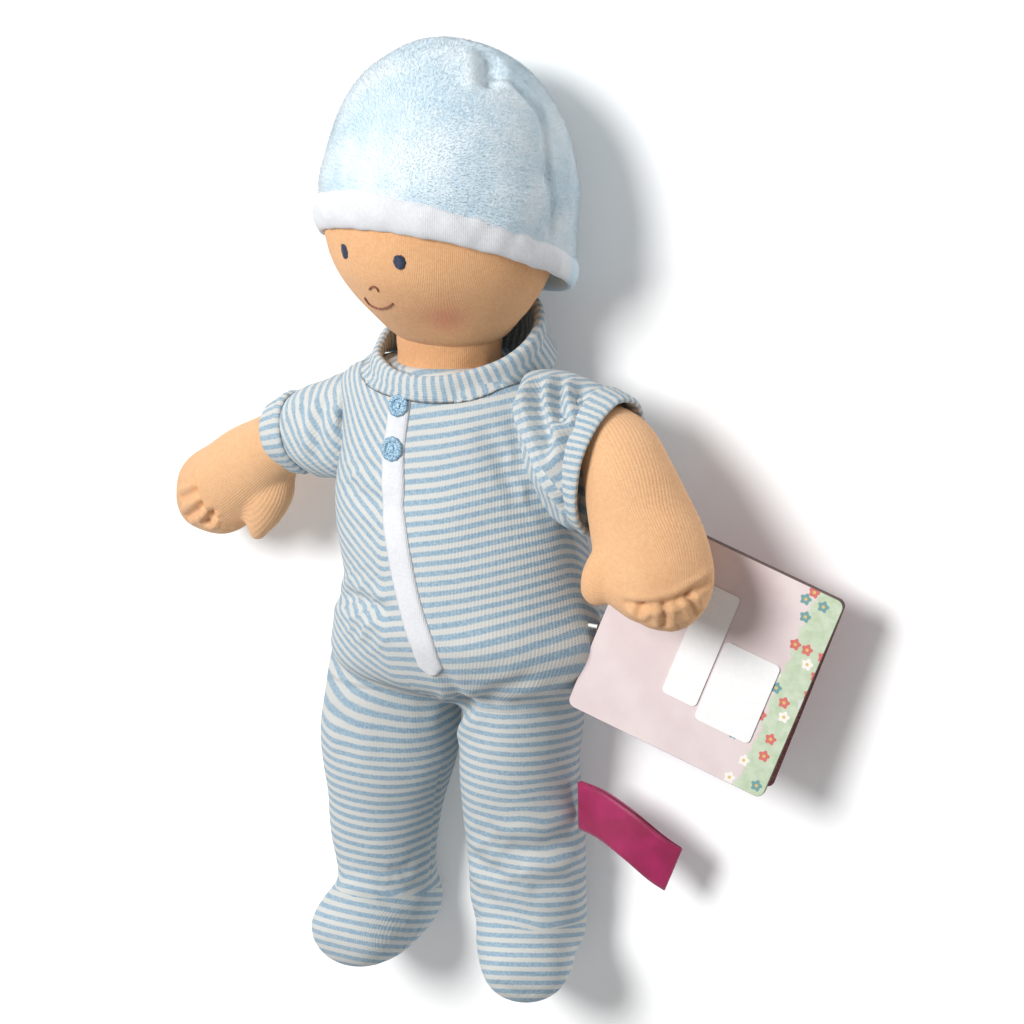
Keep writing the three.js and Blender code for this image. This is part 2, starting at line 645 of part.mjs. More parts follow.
// The foot runs forward from the heel, so its rings are stacked along Y and then turned up
function footShape(inset, toeOut) {
  const rows = [
    [0, FOOT_HALF_WIDTH * 0.4, FOOT_DROP * 0.4],
    [6, FOOT_HALF_WIDTH * 0.8, FOOT_DROP * 0.75],
    [FOOT_LENGTH * 0.45, FOOT_HALF_WIDTH, FOOT_DROP * 0.85],
    [FOOT_LENGTH * 0.75, FOOT_HALF_WIDTH, FOOT_DROP * 0.72],
    [FOOT_LENGTH * 0.95, FOOT_HALF_WIDTH * 0.72, FOOT_DROP * 0.5],
    [FOOT_LENGTH, FOOT_HALF_WIDTH * 0.4, FOOT_DROP * 0.25],
  ];
  const geometry = geometryOf(stuffedForm(rows, 6, inset, 12));
  geometry.rotateX(Math.PI / 2);
  geometry.rotateX(THREE.MathUtils.degToRad(12));
  geometry.translate(0, -LEG_LENGTH - FOOT_DROP * 0.35, -HIP_RADIUS + 2);
  geometry.rotateY(toeOut);
  return solidOf(geometry);
}

function makeLeg(side, word, toeOutDegrees) {
  const leg = new THREE.Group();
  leg.name = `pivot_hip_${word}`;
  leg.position.set(side * HIP_HALF_SPAN, HIP_LINE, hipHeight);
  doll.add(leg);
  const toeOut = side * THREE.MathUtils.degToRad(toeOutDegrees);
  const backCut = above(2, -hipHeight);
  const legAndFoot = (inset) => stuffedForm(legRows, 10, inset).add(footShape(inset, toeOut));
  const legShape = (inset) => legAndFoot(inset).intersect(backCut);
  const opening = block([-FAR, HIP_RADIUS * 0.9, -FAR], [FAR, FAR, FAR]);
  const shell = legShape(0).subtract(legShape(CLOTH)).subtract(opening);
  const ankle = -LEG_LENGTH;
  addPiece(leg, `leg_stuffing_${word}`, legShape(CLOTH + SEAT_GAP), 'stuffing');
  addPiece(leg, `romper_leg_${word}`, shell.intersect(above(1, ankle + SEAT_GAP / 2)), 'stripe');
  const foot = shell.intersect(below(1, ankle - SEAT_GAP / 2));
  const soleLine = ankle - FOOT_DROP * 0.62;
  addPiece(leg, `foot_upper_${word}`, foot.intersect(above(1, soleLine + SEAT_GAP / 2)), 'stripe');
  addPiece(leg, `foot_sole_${word}`, foot.intersect(below(1, soleLine - SEAT_GAP / 2)), 'stripe');
  return leg;
}

makeLeg(-1, 'right', RIGHT_TOE_OUT);
const leftLeg = makeLeg(1, 'left', LEFT_TOE_OUT);

// Ribbon label: a folded loop that stands out of the left leg's side seam

const label = new THREE.Group();
label.name = 'pivot_label_fold';
label.position.set(HIP_HALF_WIDTH + SEAT_GAP * 6, -LEG_LENGTH * 0.42, -2);
leftLeg.add(label);
const ribbon = new THREE.Shape();
const ribbonOut = LABEL_GAP / 2 + LABEL_THICKNESS;
ribbon.moveTo(0, ribbonOut);
ribbon.lineTo(LABEL_LENGTH - ribbonOut, ribbonOut);
ribbon.absarc(LABEL_LENGTH - ribbonOut, 0, ribbonOut, Math.PI / 2, -Math.PI / 2, true);
ribbon.lineTo(0, -ribbonOut);
ribbon.lineTo(0, -LABEL_GAP / 2);
ribbon.lineTo(LABEL_LENGTH - ribbonOut, -LABEL_GAP / 2);
ribbon.absarc(LABEL_LENGTH - ribbonOut, 0, LABEL_GAP / 2, -Math.PI / 2, Math.PI / 2, false);
ribbon.lineTo(0, LABEL_GAP / 2);
const ribbonSettings = { depth: LABEL_WIDTH, bevelEnabled: false, curveSegments: 6 };
const ribbonSolid = new THREE.ExtrudeGeometry(ribbon, ribbonSettings);
ribbonSolid.rotateX(Math.PI / 2);
const ribbonMesh = addPiece(label, 'side_label', ribbonSolid, 'ribbon', 0.5);
ribbonMesh.rotation.z = THREE.MathUtils.degToRad(-14);

// Card tag: the back cover with its stickers, the front cover folded under it, and its pin

const tag = new THREE.Group();
tag.name = 'pivot_tag_swing';
tag.position.set(...TAG_CORNER);
tag.rotation.order = 'ZYX';
tag.rotation.set(...[TAG_LEAN, TAG_SLOPE, TAG_TURN].map(THREE.MathUtils.degToRad));
doll.add(tag);

function card(low, high, corner = 3) {
  const outline = new THREE.Shape();
  outline.moveTo(low[0] + corner, low[1]);
  outline.absarc(high[0] - corner, low[1] + corner, corner, -Math.PI / 2, 0, false);
  outline.absarc(high[0] - corner, high[1] - corner, corner, 0, Math.PI / 2, false);
  outline.absarc(low[0] + corner, high[1] - corner, corner, Math.PI / 2, Math.PI, false);
  outline.absarc(low[0] + corner, low[1] + corner, corner, Math.PI, 1.5 * Math.PI, false);
  const depth = high[2] - low[2];
  const geometry = new THREE.ExtrudeGeometry(outline, { depth, bevelEnabled: false, curveSegments: 2 });
  return placed(geometry, 0, 0, low[2]);
}

addPiece(tag, 'tag_back_cover', card([0, 0, -TAG_THICKNESS], [TAG_SIZE, TAG_SIZE, 0]), 'card', 0.5);
const fold = new THREE.Group();
fold.name = 'pivot_tag_open';
fold.position.set(0, TAG_SIZE, -TAG_THICKNESS - SEAT_GAP);
fold.rotation.x = THREE.MathUtils.degToRad(TAG_OPENING);
tag.add(fold);
const frontCover = card([0, -TAG_SIZE, -TAG_COVER_THICKNESS], [TAG_SIZE, 0, 0]);
addPiece(fold, 'tag_front_cover', frontCover, 'leaf', 0.5);

function sticker(name, { x, y, width, height }) {
  const low = [x, y, SEAT_GAP];
  const high = [x + width, y + height, SEAT_GAP + STICKER_THICKNESS];
  addPiece(tag, name, card(low, high, 2), 'white', 0.4);
}

sticker('sticker_wide', WIDE_STICKER);
sticker('sticker_square', SQUARE_STICKER);

// The pin runs from the romper's side seam to the edge of the card

doll.updateMatrixWorld(true);
const pinEnd = tag.localToWorld(new THREE.Vector3(-SEAT_GAP * 2, TAG_PIN_ALONG_EDGE, -TAG_THICKNESS / 2));
const pinStart = BODY_HALF_WIDTH / 2;
const pinRod = new THREE.CylinderGeometry(TAG_PIN_RADIUS, TAG_PIN_RADIUS, pinEnd.x - pinStart, 8);
pinRod.rotateZ(Math.PI / 2);
const pinSolid = solidOf(placed(pinRod, (pinEnd.x + pinStart) / 2, pinEnd.y, pinEnd.z));
addPiece(doll, 'tag_pin', pinSolid.subtract(bodyShape(-SEAT_GAP)), 'plastic', 0.3);

// The origin is the middle of the underside of the doll's box
doll.updateMatrixWorld(true);
const box = new THREE.Box3().setFromObject(doll, true);
doll.position.set(-(box.min.x + box.max.x) / 2, -(box.min.y + box.max.y) / 2, -box.min.z);
doll.updateMatrixWorld(true);

export default doll;
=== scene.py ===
import json
import math
from contextlib import contextmanager
import bpy
import bmesh
from mathutils import Matrix, Vector, noise
from mathutils.bvhtree import BVHTree


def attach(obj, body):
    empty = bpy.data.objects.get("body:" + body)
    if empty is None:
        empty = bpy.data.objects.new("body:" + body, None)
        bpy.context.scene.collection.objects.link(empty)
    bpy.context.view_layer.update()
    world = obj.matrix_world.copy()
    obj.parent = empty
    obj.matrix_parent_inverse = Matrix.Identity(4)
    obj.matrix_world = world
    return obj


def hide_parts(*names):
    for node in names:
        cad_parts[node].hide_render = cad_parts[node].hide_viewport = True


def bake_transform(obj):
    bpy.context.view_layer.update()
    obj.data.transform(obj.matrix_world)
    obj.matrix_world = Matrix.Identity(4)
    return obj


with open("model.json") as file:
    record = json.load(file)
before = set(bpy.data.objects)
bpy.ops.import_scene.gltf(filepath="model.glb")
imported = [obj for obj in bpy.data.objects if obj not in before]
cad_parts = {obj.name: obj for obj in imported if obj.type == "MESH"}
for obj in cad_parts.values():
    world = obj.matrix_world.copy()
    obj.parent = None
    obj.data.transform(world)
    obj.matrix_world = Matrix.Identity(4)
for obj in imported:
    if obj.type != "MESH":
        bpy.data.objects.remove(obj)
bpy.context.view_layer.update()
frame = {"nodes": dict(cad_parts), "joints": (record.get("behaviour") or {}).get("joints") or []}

MM = 0.001

# Sizes in millimetres, as the doll was cut and stuffed

BODY_HALF_WIDTH = 57
BODY_HALF_DEPTH = 44
# How far the trunk swings out to the doll's left at the waist
BODY_LEAN = 7
HIP_LINE = -70
WAIST_LINE = -5
SHOULDER_LINE = 50
NECKLINE = 67
NECK_RADIUS = 21
NECK_MIDDLE = 45
NECK_PIVOT = 61
HEAD_BASE = 79
HEAD_TURN = -5
HEAD_HALF_WIDTH = 48
HEAD_HALF_DEPTH = 46
HEAD_LENGTH = 106
HEAD_FORWARD = 6.5
HIP_HALF_SPAN = 30.5
HIP_HALF_WIDTH = 26.5
HIP_RADIUS = 30
HIP_HEIGHT = 29.5
LEG_LENGTH = 95
ANKLE_RADIUS = 23
FOOT_DROP = 24
FOOT_LENGTH = 62
FOOT_HALF_WIDTH = 22
FOOT_FULLNESS = {"left": 0.9, "right": 0.96}
TOE_OUT = {"left": 30, "right": 4}
TOE_DROP = 12
SHOULDER_HALF_SPAN = 51
SHOULDER_HEIGHT = 44
ARM_RADIUS = 14
ARM_SPREAD = {"left": 43, "right": 51}
ARM_LIFT = {"left": 33, "right": -10}
STRIPE = 4.15
KNIT = 0.9
PLAIN_KNIT = 0.8

SIDES = {"left": 1, "right": -1}


def joint_place(name):
    """A joint's place in the frame, in millimetres."""
    for joint in frame["joints"]:
        if joint["name"] == name:
            return Vector(joint["pos_m"]) / MM
    raise ValueError(name)


# The doll's own origin, in the frame
ORIGIN = joint_place("neck_nod") - Vector((0, NECK_PIVOT, NECK_MIDDLE))


def turn(degrees, axis):
    return Matrix.Rotation(math.radians(degrees), 4, axis)


def body_place():
    return Matrix.Translation(ORIGIN)


def head_place():
    at = ORIGIN + Vector((0, HEAD_BASE, NECK_MIDDLE))
    return Matrix.Translation(at) @ turn(HEAD_TURN, "Y")


def arm_place(word):
    side = SIDES[word]
    at = ORIGIN + Vector((side * SHOULDER_HALF_SPAN, SHOULDER_LINE, SHOULDER_HEIGHT))
    return Matrix.Translation(at) @ turn(-ARM_LIFT[word], "X") @ turn(side * ARM_SPREAD[word], "Z")


def leg_place(word):
    at = ORIGIN + Vector((SIDES[word] * HIP_HALF_SPAN, HIP_LINE, HIP_HEIGHT))
    return Matrix.Translation(at)


# Camera: three quarters from the doll's left, a little above it

PHOTO = 1024
MM_PER_PIXEL = 0.41
VIEW_AZIMUTH = 28
VIEW_ELEVATION = 14
VIEW_ROLL = 1.5
VIEW_DISTANCE = 1600
VIEW_SHIFT = (5, -4.5)
SENSOR = 36


def view_axes():
    """The camera's right, up and back directions."""
    azimuth, elevation = math.radians(VIEW_AZIMUTH), math.radians(VIEW_ELEVATION)
    back = Vector((math.sin(azimuth) * math.cos(elevation), math.sin(elevation),
                   math.cos(azimuth) * math.cos(elevation)))
    right = Vector((0, 1, 0)).cross(back).normalized()
    up = back.cross(right)
    level = Matrix((right, up, back)).transposed()
    return (level @ turn(VIEW_ROLL, "Z").to_3x3()).transposed()


def view_place():
    """Where the camera stands, in millimetres."""
    right, up, back = view_axes()
    return ORIGIN + right * VIEW_SHIFT[0] + up * VIEW_SHIFT[1] + back * VIEW_DISTANCE


def set_camera():
    data = bpy.data.cameras.new("photo_view")
    camera = bpy.data.objects.new("photo_view", data)
    bpy.context.scene.collection.objects.link(camera)
    data.sensor_width = SENSOR
    data.lens = SENSOR * VIEW_DISTANCE / (PHOTO * MM_PER_PIXEL)
    turned = view_axes().transposed().to_4x4()
    camera.matrix_world = Matrix.Translation(view_place() * MM) @ turned
    bpy.context.scene.camera = camera


def sight(x, y):
    """From the camera through a point of the photograph, in pixels: a place and a direction."""
    right, up, back = view_axes()
    across = (x - PHOTO / 2) * MM_PER_PIXEL
    rise = (PHOTO / 2 - y) * MM_PER_PIXEL
    direction = right * across + up * rise - back * VIEW_DISTANCE
    return view_place(), direction.normalized()


# Shader expressions

def operation(name, swapped=False):
    """A method for shader values, which puts one math node on them."""
    def made(value, *others):
        values = (*others, value) if swapped else (value, *others)
        return value.finish.node("ShaderNodeMath", {"operation": name}, 0, *values)
    return made


class Value:
    """A shader socket that takes part in plain expressions."""

    __add__ = __radd__ = operation("ADD")
    __sub__ = operation("SUBTRACT")
    __rsub__ = operation("SUBTRACT", swapped=True)
    __mul__ = __rmul__ = operation("MULTIPLY")
    __truediv__ = operation("DIVIDE")
    above = operation("GREATER_THAN")
    angle_over = operation("ARCTAN2")
    fract = operation("FRACT")
    sine = operation("SINE")
    size = operation("ABSOLUTE")

    def __init__(self, finish, socket):
        self.finish = finish
        self.socket = socket

    def step(self, low, high):
        """0 below low, 1 above high, smooth between."""
        settings = {"interpolation_type": "SMOOTHSTEP"}
        return self.finish.node("ShaderNodeMapRange", settings, 0, self, low, high, 0.0, 1.0)


class Finish:
    """A material, whose nodes all come from one method."""

    def __init__(self, name):
        self.material = bpy.data.materials.new(name)
        self.material.use_nodes = True
        self.tree = self.material.node_tree
        self.tree.nodes.clear()

    def node(self, kind, settings=None, output=0, *values, **named):
        """Adds a node, fed by order and by name, and gives one of its outputs."""
        made = self.tree.nodes.new(kind)
        for key, setting in (settings or {}).items():
            setattr(made, key, setting)
        for index, value in enumerate(values):
            self.feed(made.inputs[index], value)
        for key, value in named.items():
            self.feed(made.inputs[key.replace("_", " ")], value)
        return Value(self, made.outputs[output])

    def feed(self, socket, value):
        if isinstance(value, Value):
            self.tree.links.new(value.socket, socket)
        elif value is not None:
            socket.default_value = value

    def noise(self, scale, detail=2.0, roughness=0.5, where=None):
        """Noise, on the piece's own coordinates in metres unless told where."""
        where = self.node("ShaderNodeTexCoord", None, "Object") if where is None else where
        return self.node("ShaderNodeTexNoise", None, 0, Vector=where, Scale=scale, Detail=detail,
                         Roughness=roughness)

    def mix(self, share, first, second):
        """A colour between two; a mix node keeps its colours in sockets 6 and 7 and gives them in 2."""
        made = self.tree.nodes.new("ShaderNodeMix")
        made.data_type = "RGBA"
        for index, value in ((0, share), (6, first), (7, second)):
            self.feed(made.inputs[index], value)
        return Value(self, made.outputs[2])

    def parts(self, vector):
        """The three numbers of a vector or colour."""
        split = self.tree.nodes.new("ShaderNodeSeparateXYZ")
        self.feed(split.inputs[0], vector)
        return [Value(self, socket) for socket in split.outputs]

    def cloth(self, name="cloth"):
        """Millimetres across and along the knit, as the piece was cut, and a third number."""
        made = self.node("ShaderNodeAttribute", {"attribute_name": name}, "Vector")
        return self.parts(made)

    def bump(self, height, distance, strength):
        """A raised surface, as a normal."""
        return self.node("ShaderNodeBump", None, 0, Strength=strength, Distance=distance, Height=height)

    def surface(self, **named):
        """Ends the material with these properties, and gives it."""
        shader = self.tree.nodes.new("ShaderNodeBsdfPrincipled")
        for key, value in named.items():
            self.feed(shader.inputs[key.replace("_", " ")], value)
        out = self.tree.nodes.new("ShaderNodeOutputMaterial")
        self.tree.links.new(shader.outputs[0], out.inputs[0])
        return self.material


def colour(red, green, blue):
    """A colour given as it shows, in 0 to 255."""
    def linear(value):
        value /= 255
        return value / 12.92 if value <= 0.04045 else ((value + 0.055) / 1.055) ** 2.4
    return (linear(red), linear(green), linear(blue), 1.0)


def knit_height(across, along, pitch):
    """Jersey: columns of small V stitches."""
    column = ((across / pitch).fract() - 0.5).size()
    row = (along / (pitch * 0.8) + column * 1.3).fract()
    return column * (-1.2) + ((row - 0.5).size() * 0.8)


# Materials: the scales of noise are features in a metre, the depths of bumps are metres

CREAM = colour(213, 213, 209)
STRIPE_BLUE = colour(140, 168, 188)
STRIPE_LIGHT = colour(165, 188, 202)


def striped_jersey(name):
    """Blue and cream stripes with ragged edges; the feet have their own numbers for the knit."""
    finish = Finish(name)
    across, along, _ = finish.cloth()
    foot_across, foot_along, on_foot = finish.cloth("foot")
    picked = on_foot.above(0.0)
    across = across + (foot_across - across) * picked
    along = along + (foot_along - along) * picked
    wander = finish.noise(60.0, 2.0) - 0.5
    height = knit_height(across, along, KNIT)
    ragged = (across / KNIT).fract() - 0.5
    feather = finish.noise(1100.0, 2.0) - 0.5
    place = along / STRIPE + wander * 0.10 + ragged.size() * 0.08 + feather * 0.16
    wave = (place.fract() - 0.5).size() * 2.0
    blue = 1.0 - wave.step(0.35, 0.65)
    heather = finish.noise(900.0, 3.0, 0.7).step(0.38, 0.62)
    blue_cloth = finish.mix(heather, STRIPE_BLUE, STRIPE_LIGHT)
    speckle = finish.noise(1400.0, 2.0).step(0.3, 0.8) * 0.35
    cream_cloth = finish.mix(speckle, CREAM, colour(208, 212, 210))
    tint = finish.mix(blue, cream_cloth, blue_cloth)
    worn = finish.noise(25.0, 3.0).step(0.35, 0.7) * 0.08
    tint = finish.mix(worn, tint, colour(200, 205, 208))
    fuzz = finish.noise(2200.0, 3.0, 0.7)
    bump = finish.bump(height + fuzz * 0.9, distance=0.00035, strength=0.55)
    return finish.surface(Base_Color=tint, Roughness=0.95, Normal=bump, Sheen_Weight=0.12,
                          Sheen_Roughness=0.6, Specular_IOR_Level=0.15)


def plain_jersey(name, main, other, depth, shaded=None):
    """One colour of knit; where the cloth's third number rises, it turns to the shaded colour."""
    finish = Finish(name)
    across, along, shade = finish.cloth()
    height = knit_height(across, along, PLAIN_KNIT)
    fuzz = finish.noise(2400.0, 3.0, 0.7)
    mottle = finish.noise(700.0, 4.0, 0.75).step(0.35, 0.68)
    patch = finish.noise(35.0, 3.0).step(0.3, 0.75) * 0.35
    tint = finish.mix(mottle * 0.5 + patch, main, other)
    if shaded:
        tint = finish.mix(shade, tint, shaded)
    bump = finish.bump(height + fuzz * 1.1, distance=depth, strength=0.6)
    return finish.surface(Base_Color=tint, Roughness=0.95, Normal=bump, Sheen_Weight=0.15,
                          Sheen_Roughness=0.5, Specular_IOR_Level=0.12)


def plush(name):
    finish = Finish(name)
    stroke = finish.noise(42.0, 3.0, 0.6)
    pile = finish.noise(1500.0, 3.0, 0.7)
    tuft = finish.noise(420.0, 3.0, 0.65)
    base = finish.mix(stroke.step(0.36, 0.66), colour(196, 220, 233), colour(226, 239, 246))
    tint = finish.mix(tuft.step(0.3, 0.75) * 0.35 + pile.step(0.4, 0.8) * 0.2, base, colour(242, 248, 251))
    bump = finish.bump(tuft * 1.0 + pile * 0.7 + stroke * 2.0, distance=0.0007, strength=0.6)
    return finish.surface(Base_Color=tint, Roughness=0.9, Normal=bump, Sheen_Weight=0.6,
                          Sheen_Roughness=0.35, Sheen_Tint=(0.9, 0.96, 1.0, 1.0), Specular_IOR_Level=0.1)


def speckled(name, first, second, scale, roughness, span=None, relief=0.0, sheen=0.0):
    """Two colours that mingle at random; span says how sharply they part."""
    finish = Finish(name)
    grain = finish.noise(scale)
    tint = finish.mix(grain.step(*span) if span else grain, first, second)
    bump = finish.bump(grain, distance=relief, strength=0.5) if relief else None
    return finish.surface(Base_Color=tint, Roughness=roughness, Normal=bump, Sheen_Weight=sheen)


def thread(name, first, second):
    return speckled(name, first, second, scale=1800.0, roughness=0.55, span=(0.35, 0.65), relief=0.0002,
                    sheen=0.2)


def satin(name):
    finish = Finish(name)
    across, along, _ = finish.cloth()
    weave = (along / 0.35).fract().step(0.1, 0.6) + (across / 0.22).fract().step(0.2, 0.7) * 0.4
    patch = finish.noise(90.0, 2.0).step(0.3, 0.7)
    tint = finish.mix(patch, colour(150, 18, 74), colour(172, 26, 92))
    rough = 0.34 + weave * 0.08
    bump = finish.bump(weave, distance=0.00008, strength=0.5)
    return finish.surface(Base_Color=tint, Roughness=rough, Normal=bump, Sheen_Weight=0.25)


# The cut edges are dark grey-brown: partly the board's own colour, partly painted shade of the stack's unlit
# side.
def card_edge(name):
    return speckled(name, colour(94, 76, 74), colour(118, 98, 94), scale=1500.0, roughness=0.8,
                    span=(0.3, 0.7))


def clear_nylon(name):
    return speckled(name, colour(232, 232, 228), colour(214, 216, 214), scale=300.0, roughness=0.3)


def sticker_paper(name):
    return speckled(name, colour(240, 240, 240), colour(250, 250, 250), scale=500.0, roughness=0.4)


# Shapes: everything is built in millimetres, then scaled into the frame


def smooth_share(value, low, high):
    """0 at low and below, 1 at high and above, smooth between."""
    share = max(0.0, min(1.0, (value - low) / (high - low)))
    return share * share * (3 - 2 * share)


def smooth_rows(rows, count):
    """Rows of numbers, drawn through smoothly at a count of even steps."""
    result = []
    last = len(rows) - 1
    for step in range(count):
        place = step / (count - 1) * last
        start = min(int(place), last - 1)
        share = place - start
        a, b, c, d = (rows[max(0, min(last, start + k))] for k in (-1, 0, 1, 2))
        result.append([0.5 * (2 * q + (r - p) * share + (2 * p - 5 * q + 4 * r - s) * share ** 2
                              + (3 * q - p - 3 * r + s) * share ** 3)
                       for p, q, r, s in zip(a, b, c, d)])
    return result


def turn_angles(count):
    """Even angles of a full turn, in radians."""
    return [step / count * math.tau for step in range(count)]


@contextmanager
def edited(mesh, source):
    """A mesh whose faces can be edited, starting as another one or as it is."""
    work = bmesh.new()
    work.from_mesh(source)
    yield work
    work.to_mesh(mesh)
    work.free()


def rings_mesh(name, rings, closed_ends=True):
    """A mesh through rings of points, each ring with the same count."""
    count = len(rings[0])
    points = [tuple(point) for ring in rings for point in ring]
    faces = []
    for ring in range(len(rings) - 1):
        for side in range(count):
            other = (side + 1) % count
            a = ring * count
            faces.append((a + side, a + other, a + count + other, a + count + side))
    if closed_ends:
        faces.append(tuple(reversed(range(count))))
        faces.append(tuple(range((len(rings) - 1) * count, len(rings) * count)))
    mesh = bpy.data.meshes.new(name)
    mesh.from_pydata(points, [], faces)
    mesh.validate()
    with edited(mesh, mesh) as work:
        bmesh.ops.recalc_face_normals(work, faces=work.faces)
    return mesh


def oval_form(name, rows, count=40, sides=48):
    """A stuffed form along Y, through rows of y, half width, half depth, x and z."""
    full = [list(row) + [0] * (5 - len(row)) for row in rows]
    rings = []
    for y, width, depth, x, z in smooth_rows(full, count):
        rings.append([(x + max(width, 0.2) * math.cos(angle), y, z + max(depth, 0.2) * math.sin(angle))
                      for angle in turn_angles(sides)])
    return rings_mesh(name, rings)


def limb_form(name, stations, count, sides):
    """A stuffed limb: pixel, pixel, height, half width across the view and half depth."""
    spots = [list(seen_at(x, y, height)) + [width, depth] for x, y, height, width, depth in stations]
    rows = smooth_rows(spots, count)
    facing = view_axes()[2]
    rings = []
    for index, row in enumerate(rows):
        ahead = Vector(rows[min(index + 1, count - 1)][:3]) - Vector(rows[max(index - 1, 0)][:3])
        side = ahead.cross(facing).normalized()
        up = side.cross(ahead).normalized()
        middle = Vector(row[:3])
        rings.append([middle + side * (row[3] * math.cos(angle)) + up * (row[4] * math.sin(angle))
                      for angle in turn_angles(sides)])
    return rings_mesh(name, rings)


def placed(mesh, place):
    """The same mesh, moved to its place."""
    mesh.transform(place)
    return mesh


def around_noise(angle, seed, density):
    """Unevenness that comes back to its start after a full turn."""
    return noise.noise(Vector((math.cos(angle), math.sin(angle), seed)) * density)


def joined_band(name, rings, rounded=True):
    """A closed band through rings that go around it, the last joined to the first."""
    mesh = rings_mesh(name, rings + [rings[0]], closed_ends=False)
    with edited(mesh, mesh) as work:
        bmesh.ops.remove_doubles(work, verts=work.verts, dist=0.001)
        if rounded:
            bmesh.ops.subdivide_edges(work, edges=work.edges, cuts=1, use_grid_fill=True, smooth=1.0)
        bmesh.ops.recalc_face_normals(work, faces=work.faces)
    return mesh


def as_object(mesh):
    """A piece of the scene, named as its mesh."""
    piece = bpy.data.objects.new(mesh.name, mesh)
    bpy.context.scene.collection.objects.link(piece)
    return piece


def merged(name, pieces):
    """One mesh of several, without joining their faces."""
    work = bmesh.new()
    for mesh in pieces:
        work.from_mesh(mesh)
    mesh = bpy.data.meshes.new(name)
    work.to_mesh(mesh)
    work.free()
    return mesh


def stuffed(name, meshes, voxel, rounds):
    """One skin around several overlapping forms."""
    piece = as_object(merged(name, meshes))
    remesh = piece.modifiers.new("one skin", "REMESH")
    remesh.mode = "VOXEL"
    remesh.voxel_size = voxel
    remesh.use_smooth_shade = True
    smooth = piece.modifiers.new("soft", "SMOOTH")
    smooth.factor = 0.6
    smooth.iterations = rounds
    return applied(piece)


def applied(piece):
    """A piece with its modifiers worked into its mesh."""
    graph = bpy.context.evaluated_depsgraph_get()
    graph.update()
    mesh = bpy.data.meshes.new_from_object(piece.evaluated_get(graph))
    mesh.name = piece.name
    piece.modifiers.clear()
    piece.data = mesh
    return piece


def set_points(mesh, points):
    """Moves a mesh's points to new places."""
    flat = [value for point in points for value in point]
    mesh.vertices.foreach_set("co", flat)
    mesh.update()


def tree_of(mesh, unit=1):
    """A surface that can be searched, in millimetres; unit is a millimetre's length in the mesh."""
    return BVHTree.FromPolygons([vertex.co / unit for vertex in mesh.vertices],
                                [tuple(face.vertices) for face in mesh.polygons])


def seen_on(tree, x, y):
    """Where a point of the photograph falls on a surface."""
    start, direction = sight(x, y)
    hit = tree.ray_cast(start, direction)
    if hit[0] is None:
        hit = tree.find_nearest(start + direction * VIEW_DISTANCE)
    return hit[0]


def seen_at(x, y, height):
    """Where a point of the photograph lies, at a height above the doll's back."""
    start, direction = sight(x, y)
    return start + direction * ((ORIGIN.z + height - start.z) / direction.z)


def line_distance(point, line):
    """The distance to a line of points, and how far along it the nearest place is, 0 to 1."""
    best, along = 1e9, 0
    pairs = len(line) - 1
    for index in range(pairs):
        a, b = line[index], line[index + 1]
        span = b - a
        share = max(0.0, min(1.0, (point - a).dot(span) / max(span.length_squared, 1e-9)))
        gap = (point - a - span * share).length
        if gap < best:
            best, along = gap, (index + share) / pairs
    return best, along


# A crease's swell stands this many widths from its valley, is this wide, and ends out here
SWELL_AT = 1.9
SWELL_WIDTH = 0.9
CREASE_END = 4.5


class Crease:
    """A fold of cloth along a line: a valley with a swell on each side."""

    def __init__(self, line, depth, width, swell, fade):
        self.line = line
        self.depth = depth
        self.width = width
        self.swell = swell
        self.fade = fade
        middle = sum(line, Vector()) / len(line)
        self.middle = middle
        self.reach = max((point - middle).length for point in line) + width * 5

    def height(self, point):
        if (point - self.middle).length > self.reach:
            return 0
        gap, along = line_distance(point, self.line)
        share = gap / self.width
        if share > CREASE_END:
            return 0
        ends = smooth_share(min(along, 1 - along), 0, self.fade)
        valley = -math.exp(-share * share)
        ridge = self.swell * math.exp(-((share - SWELL_AT) / SWELL_WIDTH) ** 2)
        return self.depth * (valley + ridge) * ends


def crease_on(tree, path, depth, width, swell=0.45, fade=0.25):
    """A crease along points of the photograph, where they fall on a surface."""
    return Crease([seen_on(tree, x, y) for x, y in path], depth, width, swell, fade)


class Gather:
    """A bunch of small folds side by side around a place, stepping towards another."""

    def __init__(self, middle, toward, radius, pitch, depth):
        self.middle = middle
        self.step = (toward - middle).normalized()
        self.radius = radius
        self.pitch = pitch
        self.depth = depth

    def height(self, point):
        away = (point - self.middle).length / self.radius
        if away > 1:
            return 0
        bend = 0.55 * noise.noise(point / 11) + 0.3 * noise.noise(point / 5)
        phase = (point - self.middle).dot(self.step) / self.pitch + bend
        ridge = 1 - abs(math.sin(phase * math.pi))
        return self.depth * (1 - away * away) ** 1.5 * (ridge * ridge - 0.35)


def gathers_on(tree, gathers):
    """Gathers from places of the photograph: middle, a place to step towards, radius, pitch, depth."""
    return [Gather(seen_on(tree, *middle), seen_on(tree, *toward), radius, pitch, depth)
            for middle, toward, radius, pitch, depth in gathers]


def creased(mesh, creases, roughness, size, seed):
    """Moves each point along its normal by the creases and by a little unevenness."""
    moved = []
    for vertex in mesh.vertices:
        point = vertex.co.copy()
        height = sum(crease.height(point) for crease in creases)
        height += roughness * noise.noise(point / size + Vector((seed, 0, 0)))
        moved.append(point + vertex.normal * height)
    set_points(mesh, moved)


def set_cloth(mesh, rule, name="cloth"):
    """Stores, at each point, millimetres across and along the knit and a shade."""
    attribute = mesh.attributes.get(name) or mesh.attributes.new(name, "FLOAT_VECTOR", "POINT")
    flat = []
    for vertex in mesh.vertices:
        flat.extend(rule(vertex.co))
    attribute.data.foreach_set("vector", flat)


